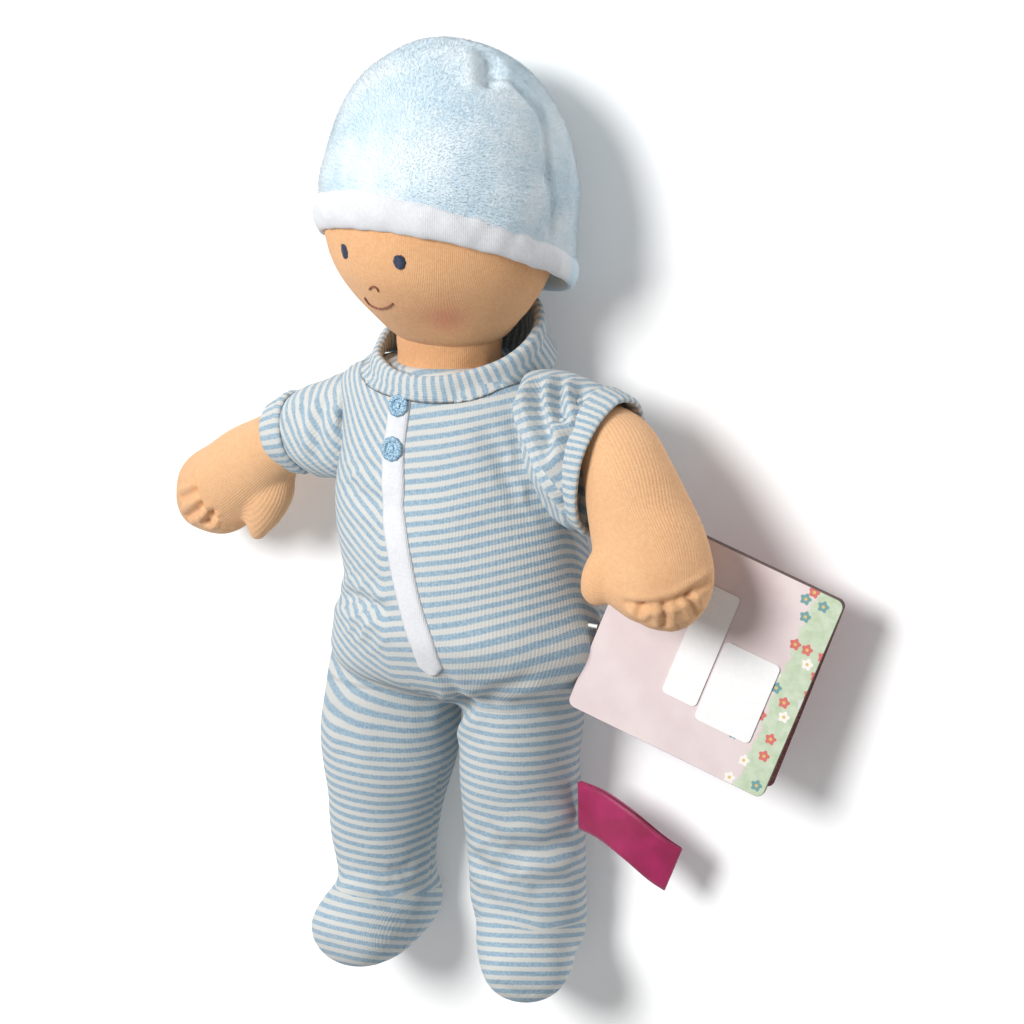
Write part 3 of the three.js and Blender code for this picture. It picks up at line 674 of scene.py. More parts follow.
def finished(piece, material, slot, body, *nodes):
    """Scales a piece into the frame and hands it over."""
    mesh = piece.data
    mesh.transform(Matrix.Scale(MM, 4))
    mesh.materials.clear()
    mesh.materials.append(material)
    mesh.polygons.foreach_set("use_smooth", [True] * len(mesh.polygons))
    mesh.update()
    return handed_over(piece, slot, body, *nodes)


def handed_over(piece, slot, body, *nodes):
    """Says which body a piece rides on and which nodes it stands for, and hides those nodes. The slot is not
    used.
    """
    if body:
        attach(piece, body)
    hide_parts(*nodes)
    return piece


def thread_tube(line, radius, sides, normal):
    """A round thread along a line on a surface, thinner at its ends."""
    rings = []
    last = len(line) - 1
    for index, point in enumerate(line):
        ahead = (line[min(index + 1, last)] - line[max(index - 1, 0)]).normalized()
        side = ahead.cross(normal)
        side = side.normalized() if side.length > 1e-6 else Vector((1, 0, 0))
        up = side.cross(ahead)
        width = radius * (0.45 if index in (0, last) else 1.0)
        rings.append([point + side * (width * math.cos(angle)) + up * (width * math.sin(angle))
                      for angle in turn_angles(sides)])
    return rings_mesh("thread", rings)


# The romper: body, legs and feet are stuffed as one form and then parted at the groin

# Where body and leg part: how far out the seam starts, its height there, and its slope outward
GROIN = 8
GROIN_LINE = -66
GROIN_SLOPE = 0.8125
# How far each side's cut reaches over the middle
GROIN_OVERLAP = 4


def body_mesh():
    """The trunk, from the hips to the neck."""
    rows = [
        (HIP_LINE - 4, 24, 15, 0, 27),
        (HIP_LINE + 8, 56, BODY_HALF_DEPTH * 0.8, 4, 36),
        (HIP_LINE + 28, 58, BODY_HALF_DEPTH * 0.97, 11, 42.6),
        (-28, 54, BODY_HALF_DEPTH * 0.98, 11.5, 43),
        (WAIST_LINE, 52.2, BODY_HALF_DEPTH * 0.98, BODY_LEAN, 43.2),
        (10, 51.2, BODY_HALF_DEPTH * 0.94, BODY_LEAN * 0.5, 42.5),
        (SHOULDER_LINE - 20, 50, BODY_HALF_DEPTH * 0.88, BODY_LEAN * 0.4, 41),
        (SHOULDER_LINE + 4, BODY_HALF_WIDTH * 0.86, BODY_HALF_DEPTH * 0.74, 0, 41),
        (NECKLINE - 4, BODY_HALF_WIDTH * 0.66, BODY_HALF_DEPTH * 0.6, 0, NECK_MIDDLE - 1.5),
        (NECKLINE, NECK_RADIUS + 5, NECK_RADIUS + 3, 0, NECK_MIDDLE),
    ]
    return placed(oval_form("romper body", rows), body_place())


# Each leg's own shape: half width and how far out its middle lies, from the hip down
LEG_LEANS = {
    "right": [(27.5, 0.5), (29, 3), (23, 7), (19.5, 6.5), (18.5, 6.5), (12, 6)],
    "left": [(24.5, -2), (23.5, -3), (25, -1.5), (23, 0.5), (19.5, 2), (12, 3)],
}


def leg_mesh(word):
    """A leg from above the hip seam down to the ankle."""
    side = SIDES[word]
    leans = LEG_LEANS[word]
    rows = [
        (HIP_RADIUS * 0.98, 6, 5),
        (HIP_RADIUS * 0.9, HIP_HALF_WIDTH * 0.5, HIP_RADIUS * 0.43),
        (HIP_RADIUS * 0.62, HIP_HALF_WIDTH * 0.86, HIP_RADIUS * 0.78),
        (0, leans[0][0], HIP_RADIUS, side * leans[0][1]),
        (-LEG_LENGTH * 0.35, leans[1][0], HIP_RADIUS * 0.93, side * leans[1][1], -1.6),
        (-LEG_LENGTH * 0.65, leans[2][0], HIP_RADIUS * 0.82, side * leans[2][1], -5),
        (-LEG_LENGTH, leans[3][0], ANKLE_RADIUS * 0.95, side * leans[3][1], -HIP_RADIUS + ANKLE_RADIUS),
        (-LEG_LENGTH - FOOT_DROP * 0.5, leans[4][0], ANKLE_RADIUS * 0.88, side * leans[4][1], -7.5),
        (-LEG_LENGTH - FOOT_DROP * 0.75, leans[5][0], ANKLE_RADIUS * 0.6, side * leans[5][1], -7.5),
    ]
    return placed(oval_form("romper leg", rows), leg_place(word))


def foot_place(word):
    """From a foot's own heel-to-toe line, stacked along Y, to where it lies."""
    out = SIDES[word] * LEG_LEANS[word][4][1]
    heel = Matrix.Translation(Vector((out, -LEG_LENGTH - FOOT_DROP * 0.16, -HIP_RADIUS + 2)))
    toe_out = turn(SIDES[word] * TOE_OUT[word], "Y")
    return leg_place(word) @ toe_out @ heel @ turn(90 + TOE_DROP, "X")


def foot_mesh(word):
    """A foot from heel to toe."""
    wide = FOOT_HALF_WIDTH * FOOT_FULLNESS[word]
    rows = [
        (0, wide * 0.4, FOOT_DROP * 0.4),
        (4, wide * 0.75, FOOT_DROP * 0.66),
        (FOOT_LENGTH * 0.3, wide * 0.97, FOOT_DROP * 0.82),
        (FOOT_LENGTH * 0.6, wide, FOOT_DROP * 0.78),
        (FOOT_LENGTH * 0.85, wide * 0.86, FOOT_DROP * 0.62),
        (FOOT_LENGTH * 0.96, wide * 0.62, FOOT_DROP * 0.44),
        (FOOT_LENGTH, wide * 0.3, FOOT_DROP * 0.2),
    ]
    return placed(oval_form("foot", rows), foot_place(word))


def groin_height(point):
    """Above 0 on the body's side of the leg seam, below 0 on the leg's."""
    spot = point - ORIGIN
    return spot.y - GROIN_LINE - GROIN_SLOPE * (abs(spot.x) - GROIN)


# The cloth slides into a bunch over the left knee
KNEE_BUNCH = seen_at(545, 860, 50)
KNEE_BUNCH_SIZE = 24

# How the stripes run. Beside the placket they are pulled along with it: on the doll's left they
# rise from hip to waist, on its right they fall, most at the chest. It lies a little to the right.
PLACKET_SIDE = -4
PULL_LEFT = 0.25
PULL_RIGHT = 0.5
# At the front each leg's stripes lie lower or higher than behind, and they dip over the ankle
LEG_FRONT_SHIFT = {1: 2.2, -1: -3.0}
ANKLE_DIP = 0.45
# How far the stripes wander, all over and in the bunch at the knee
STRIPE_WANDER = 0.9
KNEE_WANDER = 3.2


def romper_cloth(point):
    """The knit runs on from body to leg; the placket pulls it along at the front."""
    spot = point - ORIGIN
    side = 1 if spot.x > 0 else -1
    front = smooth_share(spot.z, 15, 55)
    on_right = smooth_share(-spot.x - 2, 0, 10)
    rising = PULL_LEFT * smooth_share(spot.y, -75, -20) * (spot.x - PLACKET_SIDE)
    falling = -PULL_RIGHT * (1 + smooth_share(spot.y, 10, 60)) * (spot.x - PLACKET_SIDE + 3)
    body = spot.y - (rising + (falling - rising) * on_right) * front
    dip = ANKLE_DIP * max(0, spot.z - 43) * smooth_share(-spot.y, 135, 160)
    leg = spot.y - LEG_FRONT_SHIFT[side] * front - dip
    down = smooth_share(-spot.y, 45, 100)
    middle = 0 if spot.y > HIP_LINE else side * HIP_HALF_SPAN
    around = math.atan2(spot.x - middle, spot.z - 30) * 40
    bunched = math.exp(-((point - KNEE_BUNCH).length / KNEE_BUNCH_SIZE) ** 2)
    warp = STRIPE_WANDER * noise.noise(point / 30) + bunched * KNEE_WANDER * noise.noise(point / 13)
    return around, body + (leg - body) * down + warp, 0


def foot_cloth(word):
    """The foot's own knit, which takes over below the ankle, where the third number is above 0."""
    back = leg_place(word).inverted()
    foot_back = foot_place(word).inverted()

    def rule(point):
        spot = back @ point
        foot = foot_back @ point
        ankle = -LEG_LENGTH + 0.10 * spot.z
        return foot.x * 1.1, spot.y - 0.34 * foot.y + 1.9, ankle - spot.y

    return rule


def parted(whole, name, keep):
    """The part of a skin where keep is true of its faces' middles."""
    mesh = bpy.data.meshes.new(name)
    with edited(mesh, whole) as work:
        gone = [face for face in work.faces if not keep(face.calc_center_median())]
        bmesh.ops.delete(work, geom=gone, context="FACES")
    return mesh


def cut_at_groin(mesh, side):
    """Cuts one side's faces along the leg seam, so that body and leg can part there."""
    place = ORIGIN + Vector((side * GROIN, GROIN_LINE, 0))
    normal = Vector((-side * GROIN_SLOPE, 1, 0)).normalized()
    with edited(mesh, mesh) as work:
        half = [face for face in work.faces
                if (face.calc_center_median().x - ORIGIN.x) * side > -GROIN_OVERLAP]
        edges = {edge for face in half for edge in face.edges}
        verts = {vert for face in half for vert in face.verts}
        bmesh.ops.bisect_plane(work, geom=list(verts) + list(edges) + half, plane_co=place,
                               plane_no=normal, dist=0.0005)


# Folds of the romper, placed by where they show in the photograph: points, depth and width
ROMPER_FOLDS = [
    ([(338, 594), (352, 598), (374, 607), (392, 618)], 2.6, 3.2),
    ([(452, 722), (461, 708), (468, 696)], 2.4, 4),
    ([(340, 478), (372, 500), (398, 512)], 1.2, 4),
    ([(350, 458), (368, 470), (385, 476)], 0.8, 3),
    ([(592, 822), (560, 842), (522, 852), (490, 846)], 2.4, 5),
    ([(468, 850), (486, 868), (512, 882)], 1.6, 4),
    ([(588, 868), (556, 882), (524, 888)], 1.2, 5),
    ([(470, 876), (484, 896), (500, 908)], 1.0, 3.5),
    ([(352, 862), (385, 874), (418, 866)], 1.3, 4),
    ([(348, 884), (385, 893), (425, 886)], 1.4, 4),
    ([(498, 402), (520, 430), (548, 470), (572, 512)], 1.4, 4),
    ([(478, 420), (500, 452), (520, 500)], 1.0, 5),
    ([(440, 668), (455, 690), (466, 706)], 1.4, 3),
    ([(474, 706), (500, 690), (540, 672)], 1.2, 4),
    ([(330, 700), (345, 730), (350, 770)], 0.9, 5),
    ([(585, 560), (600, 600), (604, 640)], 1.4, 4),
    ([(449, 730), (440, 775), (434, 820), (432, 860), (431, 900)], 1.0, 1.2),
    ([(431, 900), (420, 925), (402, 946), (372, 964), (340, 968)], 0.9, 1.1),
    ([(478, 955), (500, 984), (530, 992), (560, 985), (584, 950)], 0.9, 1.1),
]
# Its gathers: the middle, a place that the small folds step towards, radius, pitch and depth
ROMPER_GATHERS = [
    ((500, 858), (512, 880), 24, 9, 1.3),
    ((385, 880), (387, 905), 20, 7, 1.4),
    ((462, 700), (485, 700), 17, 6, 1.6),
    ((540, 470), (570, 455), 26, 9, 2.0),
    ((352, 475), (352, 500), 15, 6, 1.3),
    ((362, 612), (370, 635), 24, 8, 1.8),
    ((575, 690), (590, 715), 18, 8, 1.1),
]


# Cloth below the first height is pressed upward, and stays above the second; the third says how soon
PRESSED_BELOW = 1.2
FLOOR_GAP = 0.25
PRESS_LENGTH = 3


def rest_on_floor(mesh):
    """Presses what would sink under the floor up onto it."""
    moved = []
    for vertex in mesh.vertices:
        point = vertex.co.copy()
        if point.z < PRESSED_BELOW:
            share = math.exp((point.z - PRESSED_BELOW) / PRESS_LENGTH)
            point.z = FLOOR_GAP + (PRESSED_BELOW - FLOOR_GAP) * share
        moved.append(point)
    set_points(mesh, moved)


def seam_key(place, unit):
    """A place in millimetres, rounded, to find it again after scaling and parting."""
    return tuple(round(value / unit, 4) for value in place)


def keep_normals(piece, normals):
    """Both sides of a seam keep the shading of the uncut skin."""
    found = [normals.get(seam_key(vertex.co, MM), vertex.normal) for vertex in piece.data.vertices]
    piece.data.normals_split_custom_set_from_vertices(found)


def build_romper(jersey):
    forms = [body_mesh()] + [build(word) for word in SIDES for build in (leg_mesh, foot_mesh)]
    whole = stuffed("romper", forms, voxel=2.0, rounds=10)
    mesh = whole.data
    tree = tree_of(mesh)
    folds = [crease_on(tree, *fold) for fold in ROMPER_FOLDS]
    creased(mesh, folds + gathers_on(tree, ROMPER_GATHERS), roughness=1.3, size=24, seed=0)
    rest_on_floor(mesh)
    for side in SIDES.values():
        cut_at_groin(mesh, side)
    mesh.update()
    normals = {seam_key(vertex.co, 1): vertex.normal.copy() for vertex in mesh.vertices}
    body_skin = parted(mesh, "body_cloth", lambda spot: groin_height(spot) > 0)
    set_cloth(body_skin, romper_cloth)
    body = finished(as_object(body_skin), jersey, "striped_jersey", "torso",
                    "body_stuffing", "romper_back", "romper_front_left", "romper_front_right")
    keep_normals(body, normals)
    for word, side in SIDES.items():
        skin = parted(mesh, "leg_cloth_" + word,
                      lambda spot, side=side: groin_height(spot) <= 0 and (spot.x - ORIGIN.x) * side > 0)
        set_cloth(skin, romper_cloth)
        set_cloth(skin, foot_cloth(word), "foot")
        replaced = [name + word for name in ("leg_stuffing_", "romper_leg_", "foot_upper_", "foot_sole_")]
        leg = finished(as_object(skin), jersey, "striped_jersey", None, *replaced)
        keep_normals(leg, normals)
        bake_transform(leg)
    bpy.data.objects.remove(whole)
    return body


# Collar, placket and buttons

# Degrees around from the front, where the collar stands away from the neck
COLLAR_STANDS_AT = 135
# How far its top flares and lifts there, and how far its foot reaches down behind
COLLAR_FLARE = 9.5
COLLAR_LIFT = 5.0
COLLAR_FOOT = 10.5
# Its gap around the neck, its tilt in degrees, its rise above the neckline, and the stretch above
# the neckline where it bends with the neck
COLLAR_GAP = 4.6
COLLAR_TILT = 22
COLLAR_RISE = 4.5
# Its section: out from the gap, and up
COLLAR_SECTION = [(4.6, -4.0), (7.2, -4.6), (6.6, -0.6), (5.0, 3.0), (3.4, 4.6), (1.6, 4.4), (1.0, 2.6),
                  (2.6, -1.4), (4.2, -4.0)]


def lift_onto(mesh, tree, gap):
    """Moves what would sink into a surface out to just above it."""
    moved = []
    for vertex in mesh.vertices:
        near, normal, _, _ = tree.find_nearest(vertex.co)
        above = (vertex.co - near).dot(normal)
        moved.append(near + normal * gap if above < gap else vertex.co.copy())
    set_points(mesh, moved)


def build_collar(jersey, tree):
    """A doubled band around the neck, which stands away from it at the back left."""
    inner = NECK_RADIUS + COLLAR_GAP
    rings = []
    for angle in turn_angles(96):
        wave = 0.8 * around_noise(angle, 0, 2.2)
        stand = max(0.0, math.cos(angle - math.radians(COLLAR_STANDS_AT))) ** 1.6
        wave += COLLAR_FLARE * stand
        ring = []
        for out, y in COLLAR_SECTION:
            high = smooth_share(y, -5, 4.5)
            wide = inner + out + wave * (0.35 + 0.65 * high)
            foot = COLLAR_FOOT * (1 - math.cos(angle)) * (1 - smooth_share(y, -4.5, 0.5))
            rise = y + COLLAR_LIFT * stand ** 2 * high - foot
            ring.append(Vector((wide * math.sin(angle), rise, wide * math.cos(angle))))
        rings.append(ring)
    mesh = joined_band("collar", rings)

    def rule(point):
        around = math.atan2(point.x, point.z) * (inner + 5)
        return point.y, around * 1.16 + 0.1 * point.y, 0

    set_cloth(mesh, rule)
    root = Matrix.Translation(Vector((0, NECKLINE + COLLAR_RISE, NECK_MIDDLE)))
    mesh.transform(body_place() @ root @ turn(COLLAR_TILT, "X"))
    lift_onto(mesh, tree, gap=0.8)
    collar = finished(as_object(mesh), jersey, "striped_jersey", None, "collar_band")
    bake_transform(collar)


# The placket's middle in the photograph, from the neck down
PLACKET = [(401, 394), (397, 425), (393.5, 455), (393.5, 510), (400, 560), (411, 610), (426, 655), (434, 674)]
PLACKET_WIDTH = 11.2
# How far along it the placket starts to narrow
PLACKET_POINT = 0.93


def strip_on(tree, line, widths, rise, edge, across=8, along=60):
    """A strip of cloth laid on a surface along a line of the photograph."""
    path = smooth_rows(line, along)
    rings = []
    for index, (x, y) in enumerate(path):
        here = seen_on(tree, x, y)
        ahead = seen_on(tree, *path[min(index + 1, along - 1)]) - seen_on(tree, *path[max(index - 1, 0)])
        normal = tree.find_nearest(here)[1]
        side = ahead.normalized().cross(normal).normalized()
        width = widths(index / (along - 1))
        lanes = [lane / across * 2 - 1 for lane in range(across + 1)]
        ring = []
        for share in lanes:
            spot = tree.find_nearest(here + side * (share * width / 2))[0]
            ring.append(spot + normal * (rise * (1 - abs(share) ** 6) + edge))
        for share in reversed(lanes):
            spot = tree.find_nearest(here + side * (share * width / 2 * 0.97))[0]
            ring.append(spot - normal * 0.4)
        rings.append(ring)
    return rings_mesh("strip", rings)


def build_placket(tree, jersey):
    def width(share):
        point = 1 - (share - PLACKET_POINT) / 0.1
        return PLACKET_WIDTH * (0.9 + 0.1 * share if share < PLACKET_POINT else max(0.3, point))

    mesh = strip_on(tree, PLACKET, width, rise=0.9, edge=0.35)
    mesh.name = "placket"
    set_cloth(mesh, lambda point: (point.x, point.y, 0))
    finished(as_object(mesh), jersey, "white_jersey", "torso", "placket")


# Each button's middle in the photograph and its radius
BUTTONS = {"button_upper": (400, 406, 4.5), "button_lower": (394, 449, 5.0)}
BUTTON_LIFT = 1.5


def facing_on(tree, x, y):
    """Where a point of the photograph falls on a surface, with the way out, sideways and up there."""
    centre = seen_on(tree, x, y)
    normal = tree.find_nearest(centre)[1]
    side = Vector((0, 1, 0)).cross(normal).normalized()
    return centre, normal, side, normal.cross(side)


def stitched(name, threads, thread_cloth, slot, body, node):
    """One piece of many stitches."""
    mesh = merged(name, threads)
    set_cloth(mesh, lambda point: (point.x, point.y, 0))
    finished(as_object(mesh), thread_cloth, slot, body, node)


def build_button(tree, name, thread_cloth):
    """A ring of satin stitches with a few stitches across its middle."""
    x, y, radius = BUTTONS[name]
    surface, normal, side, up = facing_on(tree, x, y)
    centre = surface + normal * BUTTON_LIFT
    threads = []
    for step, angle in enumerate(turn_angles(54)):
        out = side * math.cos(angle) + up * math.sin(angle)
        stagger = 0.12 * math.sin(step * 5.1)
        inner, outer = radius * 0.52 + stagger, radius + stagger
        arch = [(inner, -0.5), (inner + 0.35, 0.45), ((inner + outer) / 2, 0.75),
                (outer - 0.35, 0.4), (outer, -0.6)]
        line = [centre + out * reach + normal * rise for reach, rise in arch]
        threads.append(thread_tube(line, radius=0.3, sides=5, normal=normal))
    for step in range(-3, 4):
        start = side * (step * 0.36) + up * (radius * 0.34)
        stop = side * (step * 0.36) - up * (radius * 0.34)
        line = [centre + way + normal * rise
                for way, rise in ((start, -0.3), (start * 0.7, 0.4), (stop * 0.7, 0.4), (stop, -0.3))]
        threads.append(thread_tube(line, radius=0.24, sides=5, normal=normal))
    pad = oval_form("pad", [(0, radius * 0.96, radius * 0.96), (0.5, radius * 0.9, radius * 0.9)], 2, 24)
    facing = normal.to_track_quat("Y", "Z").to_matrix().to_4x4()
    pad.transform(Matrix.Translation(centre - normal * 0.5) @ facing)
    stitched(name, threads + [pad], thread_cloth, "blue_thread", "torso", name)


# Arms, sleeves and cuffs

# Each arm from shoulder to fingertips and its thumb, placed by where they show in the photograph
ARM_STATIONS = {
    "right": [(352, 412, 44, 9, 9), (330, 420, 43, 13, 13), (300, 431, 42, 13.5, 13.5),
              (272, 448, 40, 14.5, 14.5), (246, 468, 38, 17, 15), (224, 487, 36, 18.5, 14.5),
              (204, 500, 34, 16, 12), (190, 508, 33, 9, 7), (184, 511, 33, 4, 3)],
    "left": [(548, 425, 43, 9, 9), (572, 430, 45, 12.5, 12.5), (597, 437, 48, 14.5, 14),
             (617, 450, 52, 16.5, 15.5), (631, 483, 57, 18.5, 16), (643, 525, 62, 21, 16),
             (655, 565, 69, 22, 16.5), (661, 595, 74, 20, 15), (662, 618, 78, 13, 10), (661, 630, 80, 5, 4)],
}
THUMB_STATIONS = {
    "right": [(281, 466, 39, 7, 6), (272, 486, 39, 10, 8), (265, 508, 39, 9, 7.5), (259, 526, 39, 5.8, 5.5),
              (256, 539, 39, 2, 2)],
    "left": [(634, 543, 70, 6, 6), (616, 566, 75, 10.5, 9), (601, 585, 78, 8.5, 8), (590, 599, 79, 3.6, 3.6)],
}


# The fold above the fingers, then the grooves between them
FINGER_FOLDS = {
    "right": [
        [(193, 470), (196, 490), (203, 507), (216, 520), (236, 529)],
        [(180, 499), (190, 495), (199, 490)],
        [(185, 518), (195, 512), (205, 504)],
        [(197, 531), (206, 524), (215, 515)],
    ],
    "left": [
        [(620, 601), (640, 606), (657, 605), (675, 601), (691, 592), (706, 583), (713, 571)],
        [(643, 603), (640, 612), (637, 623)],
        [(664, 602), (665, 614), (665, 628)],
        [(687, 592), (692, 604), (696, 616)],
    ],
}


def arm_cloth(word):
    """The knit runs around the arm, and the sleeve's runs with it."""
    back = arm_place(word).inverted()

    def rule(point):
        spot = back @ point
        return math.atan2(spot.x, spot.z) * ARM_RADIUS, spot.y, 0

    return rule


def build_arm(word, jersey):
    forms = [limb_form("arm", ARM_STATIONS[word], count=50, sides=40),
             limb_form("thumb", THUMB_STATIONS[word], count=24, sides=24)]
    skin = stuffed("arm_skin_" + word, forms, voxel=1.3, rounds=8)
    mesh = skin.data
    tree = tree_of(mesh)
    creases = [crease_on(tree, path, depth=1.9, width=1.5, swell=0.5, fade=0.12)
               for path in FINGER_FOLDS[word]]
    creased(mesh, creases, roughness=1.1, size=20, seed=3.0)
    set_cloth(mesh, arm_cloth(word))
    arm = finished(skin, jersey, "skin_jersey", "arm_" + word, "arm_" + word, "arm_stuffing_" + word)


# Folds of each sleeve, placed as the romper's are
SLEEVE_FOLDS = {
    "right": [
        ([(352, 376), (344, 420), (340, 474)], 1.6, 1.6),
        ([(330, 392), (318, 425), (322, 462)], 1.6, 3),
    ],
    "left": [
        ([(524, 384), (522, 408), (540, 460), (564, 500), (588, 528)], 2.6, 1.5),
        ([(545, 373), (538, 396), (548, 436), (568, 478), (588, 512)], 4.6, 2.6),
        ([(566, 374), (556, 392), (560, 418), (574, 452), (588, 482)], 4.2, 2.4),
        ([(584, 384), (578, 400), (584, 424), (592, 446)], 2.0, 2.4),
    ],
}
SLEEVE_GATHERS = {
    "right": [((300, 425), (278, 435), 16, 6, 1.0), ((345, 400), (330, 408), 14, 5, 1.2)],
    "left": [((560, 400), (580, 392), 12, 5, 1.0)],
}


# Rings of each sleeve and cuff: its top and bottom in the photograph with their heights, then
# the way from its middle to its front
SLEEVE_RINGS = {
    "right": [
        (372, 374, 44, 368, 474, 44, 0, 0, 17), (352, 371, 44, 346, 478, 44, 0, 0, 20),
        (326, 379, 43, 326, 478, 43, 0, 0, 19), (306, 386, 42, 318, 474, 42, -1, 0, 17.5),
        (294, 394, 41, 312, 468, 41, -1, 0, 16),
    ],
    "left": [
        (520, 376, 44, 560, 520, 46, 0, 0, 16), (536, 369, 45, 578, 528, 48, -1, 0, 21),
        (562, 372, 46, 584, 532, 50, -2, 0, 23), (588, 382, 48, 588, 530, 52, -3, 0, 22),
        (601, 390, 49, 590, 527, 54, -3.5, 0, 20),
    ],
}
CUFF_RINGS = {
    "right": [(294, 394, 41, 312, 468, 41, -1, 0, 16), (273, 407, 40, 294, 466, 40, -1, 0, 14.5)],
    "left": [(601, 390, 49, 590, 527, 54, -3.5, 0, 20), (624, 402, 51, 597, 531, 57, -3.5, 0, 19.5)],
}


# A cuff's section: along it from 0 to 1, and out from the sleeve
CUFF_SECTION = [(0, -0.6), (0.02, 1.2), (0.3, 1.9), (0.7, 1.9), (0.95, 1.3), (1.0, 0.3), (0.9, -0.6),
                (0.3, -0.9)]


def ring_ends(ring):
    return seen_at(*ring[:3]), seen_at(*ring[3:6])


def ring_inward(ring, share):
    """The same ring drawn in towards its middle."""
    low, high = Vector(ring[:3]), Vector(ring[3:6])
    middle = (low + high) / 2
    first, last = middle + (low - middle) * share, middle + (high - middle) * share
    return (*first, *last, ring[6] * share, ring[7] * share, ring[8] * share)


def ring_spot(first, last, share, angle, grow=0.0):
    """A place on the skin between two rings, at an angle around from the front."""
    ends = [low.lerp(high, share) for low, high in zip(ring_ends(first), ring_ends(last))]
    front = Vector(first[6:9]).lerp(Vector(last[6:9]), share)
    up = (ends[0] - ends[1]) / 2
    middle = (ends[0] + ends[1]) / 2
    up = up * (1 + grow / up.length)
    front = front * (1 + grow / front.length)
    return middle + up * math.sin(angle) + front * math.cos(angle)


def ring_form(name, rings, count, sides):
    """A skin through rings placed by where they show in the photograph."""
    spots = []
    for ring in rings:
        top, bottom = ring_ends(ring)
        spots.append(list(top) + list(bottom) + list(ring[6:9]))
    made = []
    for row in smooth_rows(spots, count):
        top, bottom, front = Vector(row[:3]), Vector(row[3:6]), Vector(row[6:9])
        middle, up = (top + bottom) / 2, (top - bottom) / 2
        made.append([middle + up * math.sin(angle) + front * math.cos(angle)
                     for angle in turn_angles(sides)])
    return rings_mesh(name, made)


def build_sleeve(word, jersey):
    rings = SLEEVE_RINGS[word]
    hem = [ring_inward(rings[-1], 0.93), ring_inward(rings[-2], 0.9)]
    mesh = ring_form("sleeve_cloth_" + word, rings + hem, count=70, sides=100)
    tree = tree_of(mesh)
    folds = [crease_on(tree, *fold, swell=0.8) for fold in SLEEVE_FOLDS[word]]
    gathers = gathers_on(tree, SLEEVE_GATHERS[word])
    creased(mesh, folds + gathers, roughness=1.3, size=15, seed=9.0 + SIDES[word])
    set_cloth(mesh, arm_cloth(word))
    sleeve = finished(as_object(mesh), jersey, "striped_jersey", None, "sleeve_" + word)
    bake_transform(sleeve)


def build_cuff(word, jersey):
    """A band of doubled cloth around the end of the sleeve."""
    first, last = CUFF_RINGS[word]
    rings = []
    for angle in turn_angles(110):
        wave = 0.9 * around_noise(angle, SIDES[word], 2.0)
        rings.append([ring_spot(first, last, share, angle, grow + wave) for share, grow in CUFF_SECTION])
    mesh = joined_band("cuff_cloth_" + word, rings)
    top, bottom = ring_ends(first)
    middle = (top + bottom + sum(ring_ends(last), Vector())) / 4
    up = (top - bottom).normalized()
    front = Vector(first[6:9]).normalized()
    radius = (top - bottom).length / 2

    def rule(point):
        spot = point - middle
        return point.y, math.atan2(spot.dot(up), spot.dot(front)) * radius * 1.12, 0

    set_cloth(mesh, rule)
    finished(as_object(mesh), jersey, "striped_jersey", "arm_" + word, "cuff_" + word)


# Neck, head and face

def build_neck(jersey):
    radii = ((-6, 15), (-2, NECK_RADIUS), (8, NECK_RADIUS - 0.5), (18, NECK_RADIUS), (24, NECK_RADIUS * 0.9))
    mesh = oval_form("neck_cloth", [(y, radius, radius) for y, radius in radii], count=40, sides=64)
    mesh.transform(body_place() @ Matrix.Translation(Vector((0, NECK_PIVOT, NECK_MIDDLE))))
    creased(mesh, [], roughness=1.0, size=9, seed=4.0)

    def rule(point):
        return math.atan2(point.x - ORIGIN.x, point.z - NECK_MIDDLE) * NECK_RADIUS, point.y, 0

    set_cloth(mesh, rule)
    neck = finished(as_object(mesh), jersey, "skin_jersey", "neck", "neck_tube", "neck_stuffing")


# The head from chin to crown, as shares of its length, half width and half depth
HEAD_FORM = [(-0.03, 0.4, 0.4), (0.0, 0.5, 0.5), (0.06, 0.62, 0.62), (0.15, 0.77, 0.77), (0.26, 0.9, 0.9),
             (0.38, 0.98, 0.98), (0.52, 1, 1), (0.66, 0.92, 0.92), (0.82, 0.7, 0.7), (0.94, 0.4, 0.4),
             (1, 0.14, 0.15)]
# The seam behind the cheek, and the blush: where they show in the photograph
HEAD_SEAM = [(534, 262), (533, 285), (527, 310), (514, 334)]
BLUSH_PLACE = (447, 319)
BLUSH_RADIUS = 8
BLUSH_LEVEL = 0.6


def head_rows():
    """The head's rows from chin to crown; its middle comes forward above the neck."""
    return [(along * HEAD_LENGTH, width * HEAD_HALF_WIDTH, depth * HEAD_HALF_DEPTH, 0,
             HEAD_FORWARD * smooth_share(along, -0.1, 0.3)) for along, width, depth in HEAD_FORM]


def build_head(jersey):
    """The head; gives its surface, to embroider the face on."""
    mesh = placed(oval_form("head_cloth", head_rows(), count=110, sides=120), head_place())
    seam = crease_on(tree_of(mesh), HEAD_SEAM, depth=0.8, width=1.1, swell=0.3, fade=0.05)
    creased(mesh, [seam], roughness=1.2, size=30, seed=6.0)
    tree = tree_of(mesh)
    cheek = seen_on(tree, *BLUSH_PLACE)
    back = head_place().inverted()

    def rule(point):
        spot = back @ point
        blush = BLUSH_LEVEL * math.exp(-((point - cheek).length / BLUSH_RADIUS) ** 2)
        return math.atan2(spot.x, spot.z - HEAD_FORWARD) * HEAD_HALF_WIDTH, spot.y, blush

    set_cloth(mesh, rule)
    head = finished(as_object(mesh), jersey, "skin_jersey", "head",
                    "head_stuffing", "face_panel", "head_back_panel")
    return tree


# Each eye's middle in the photograph, half width and half height
EYES = {"eye_right": (344.5, 251, 2.3, 2.9), "eye_left": (399.5, 262, 2.55, 2.95)}


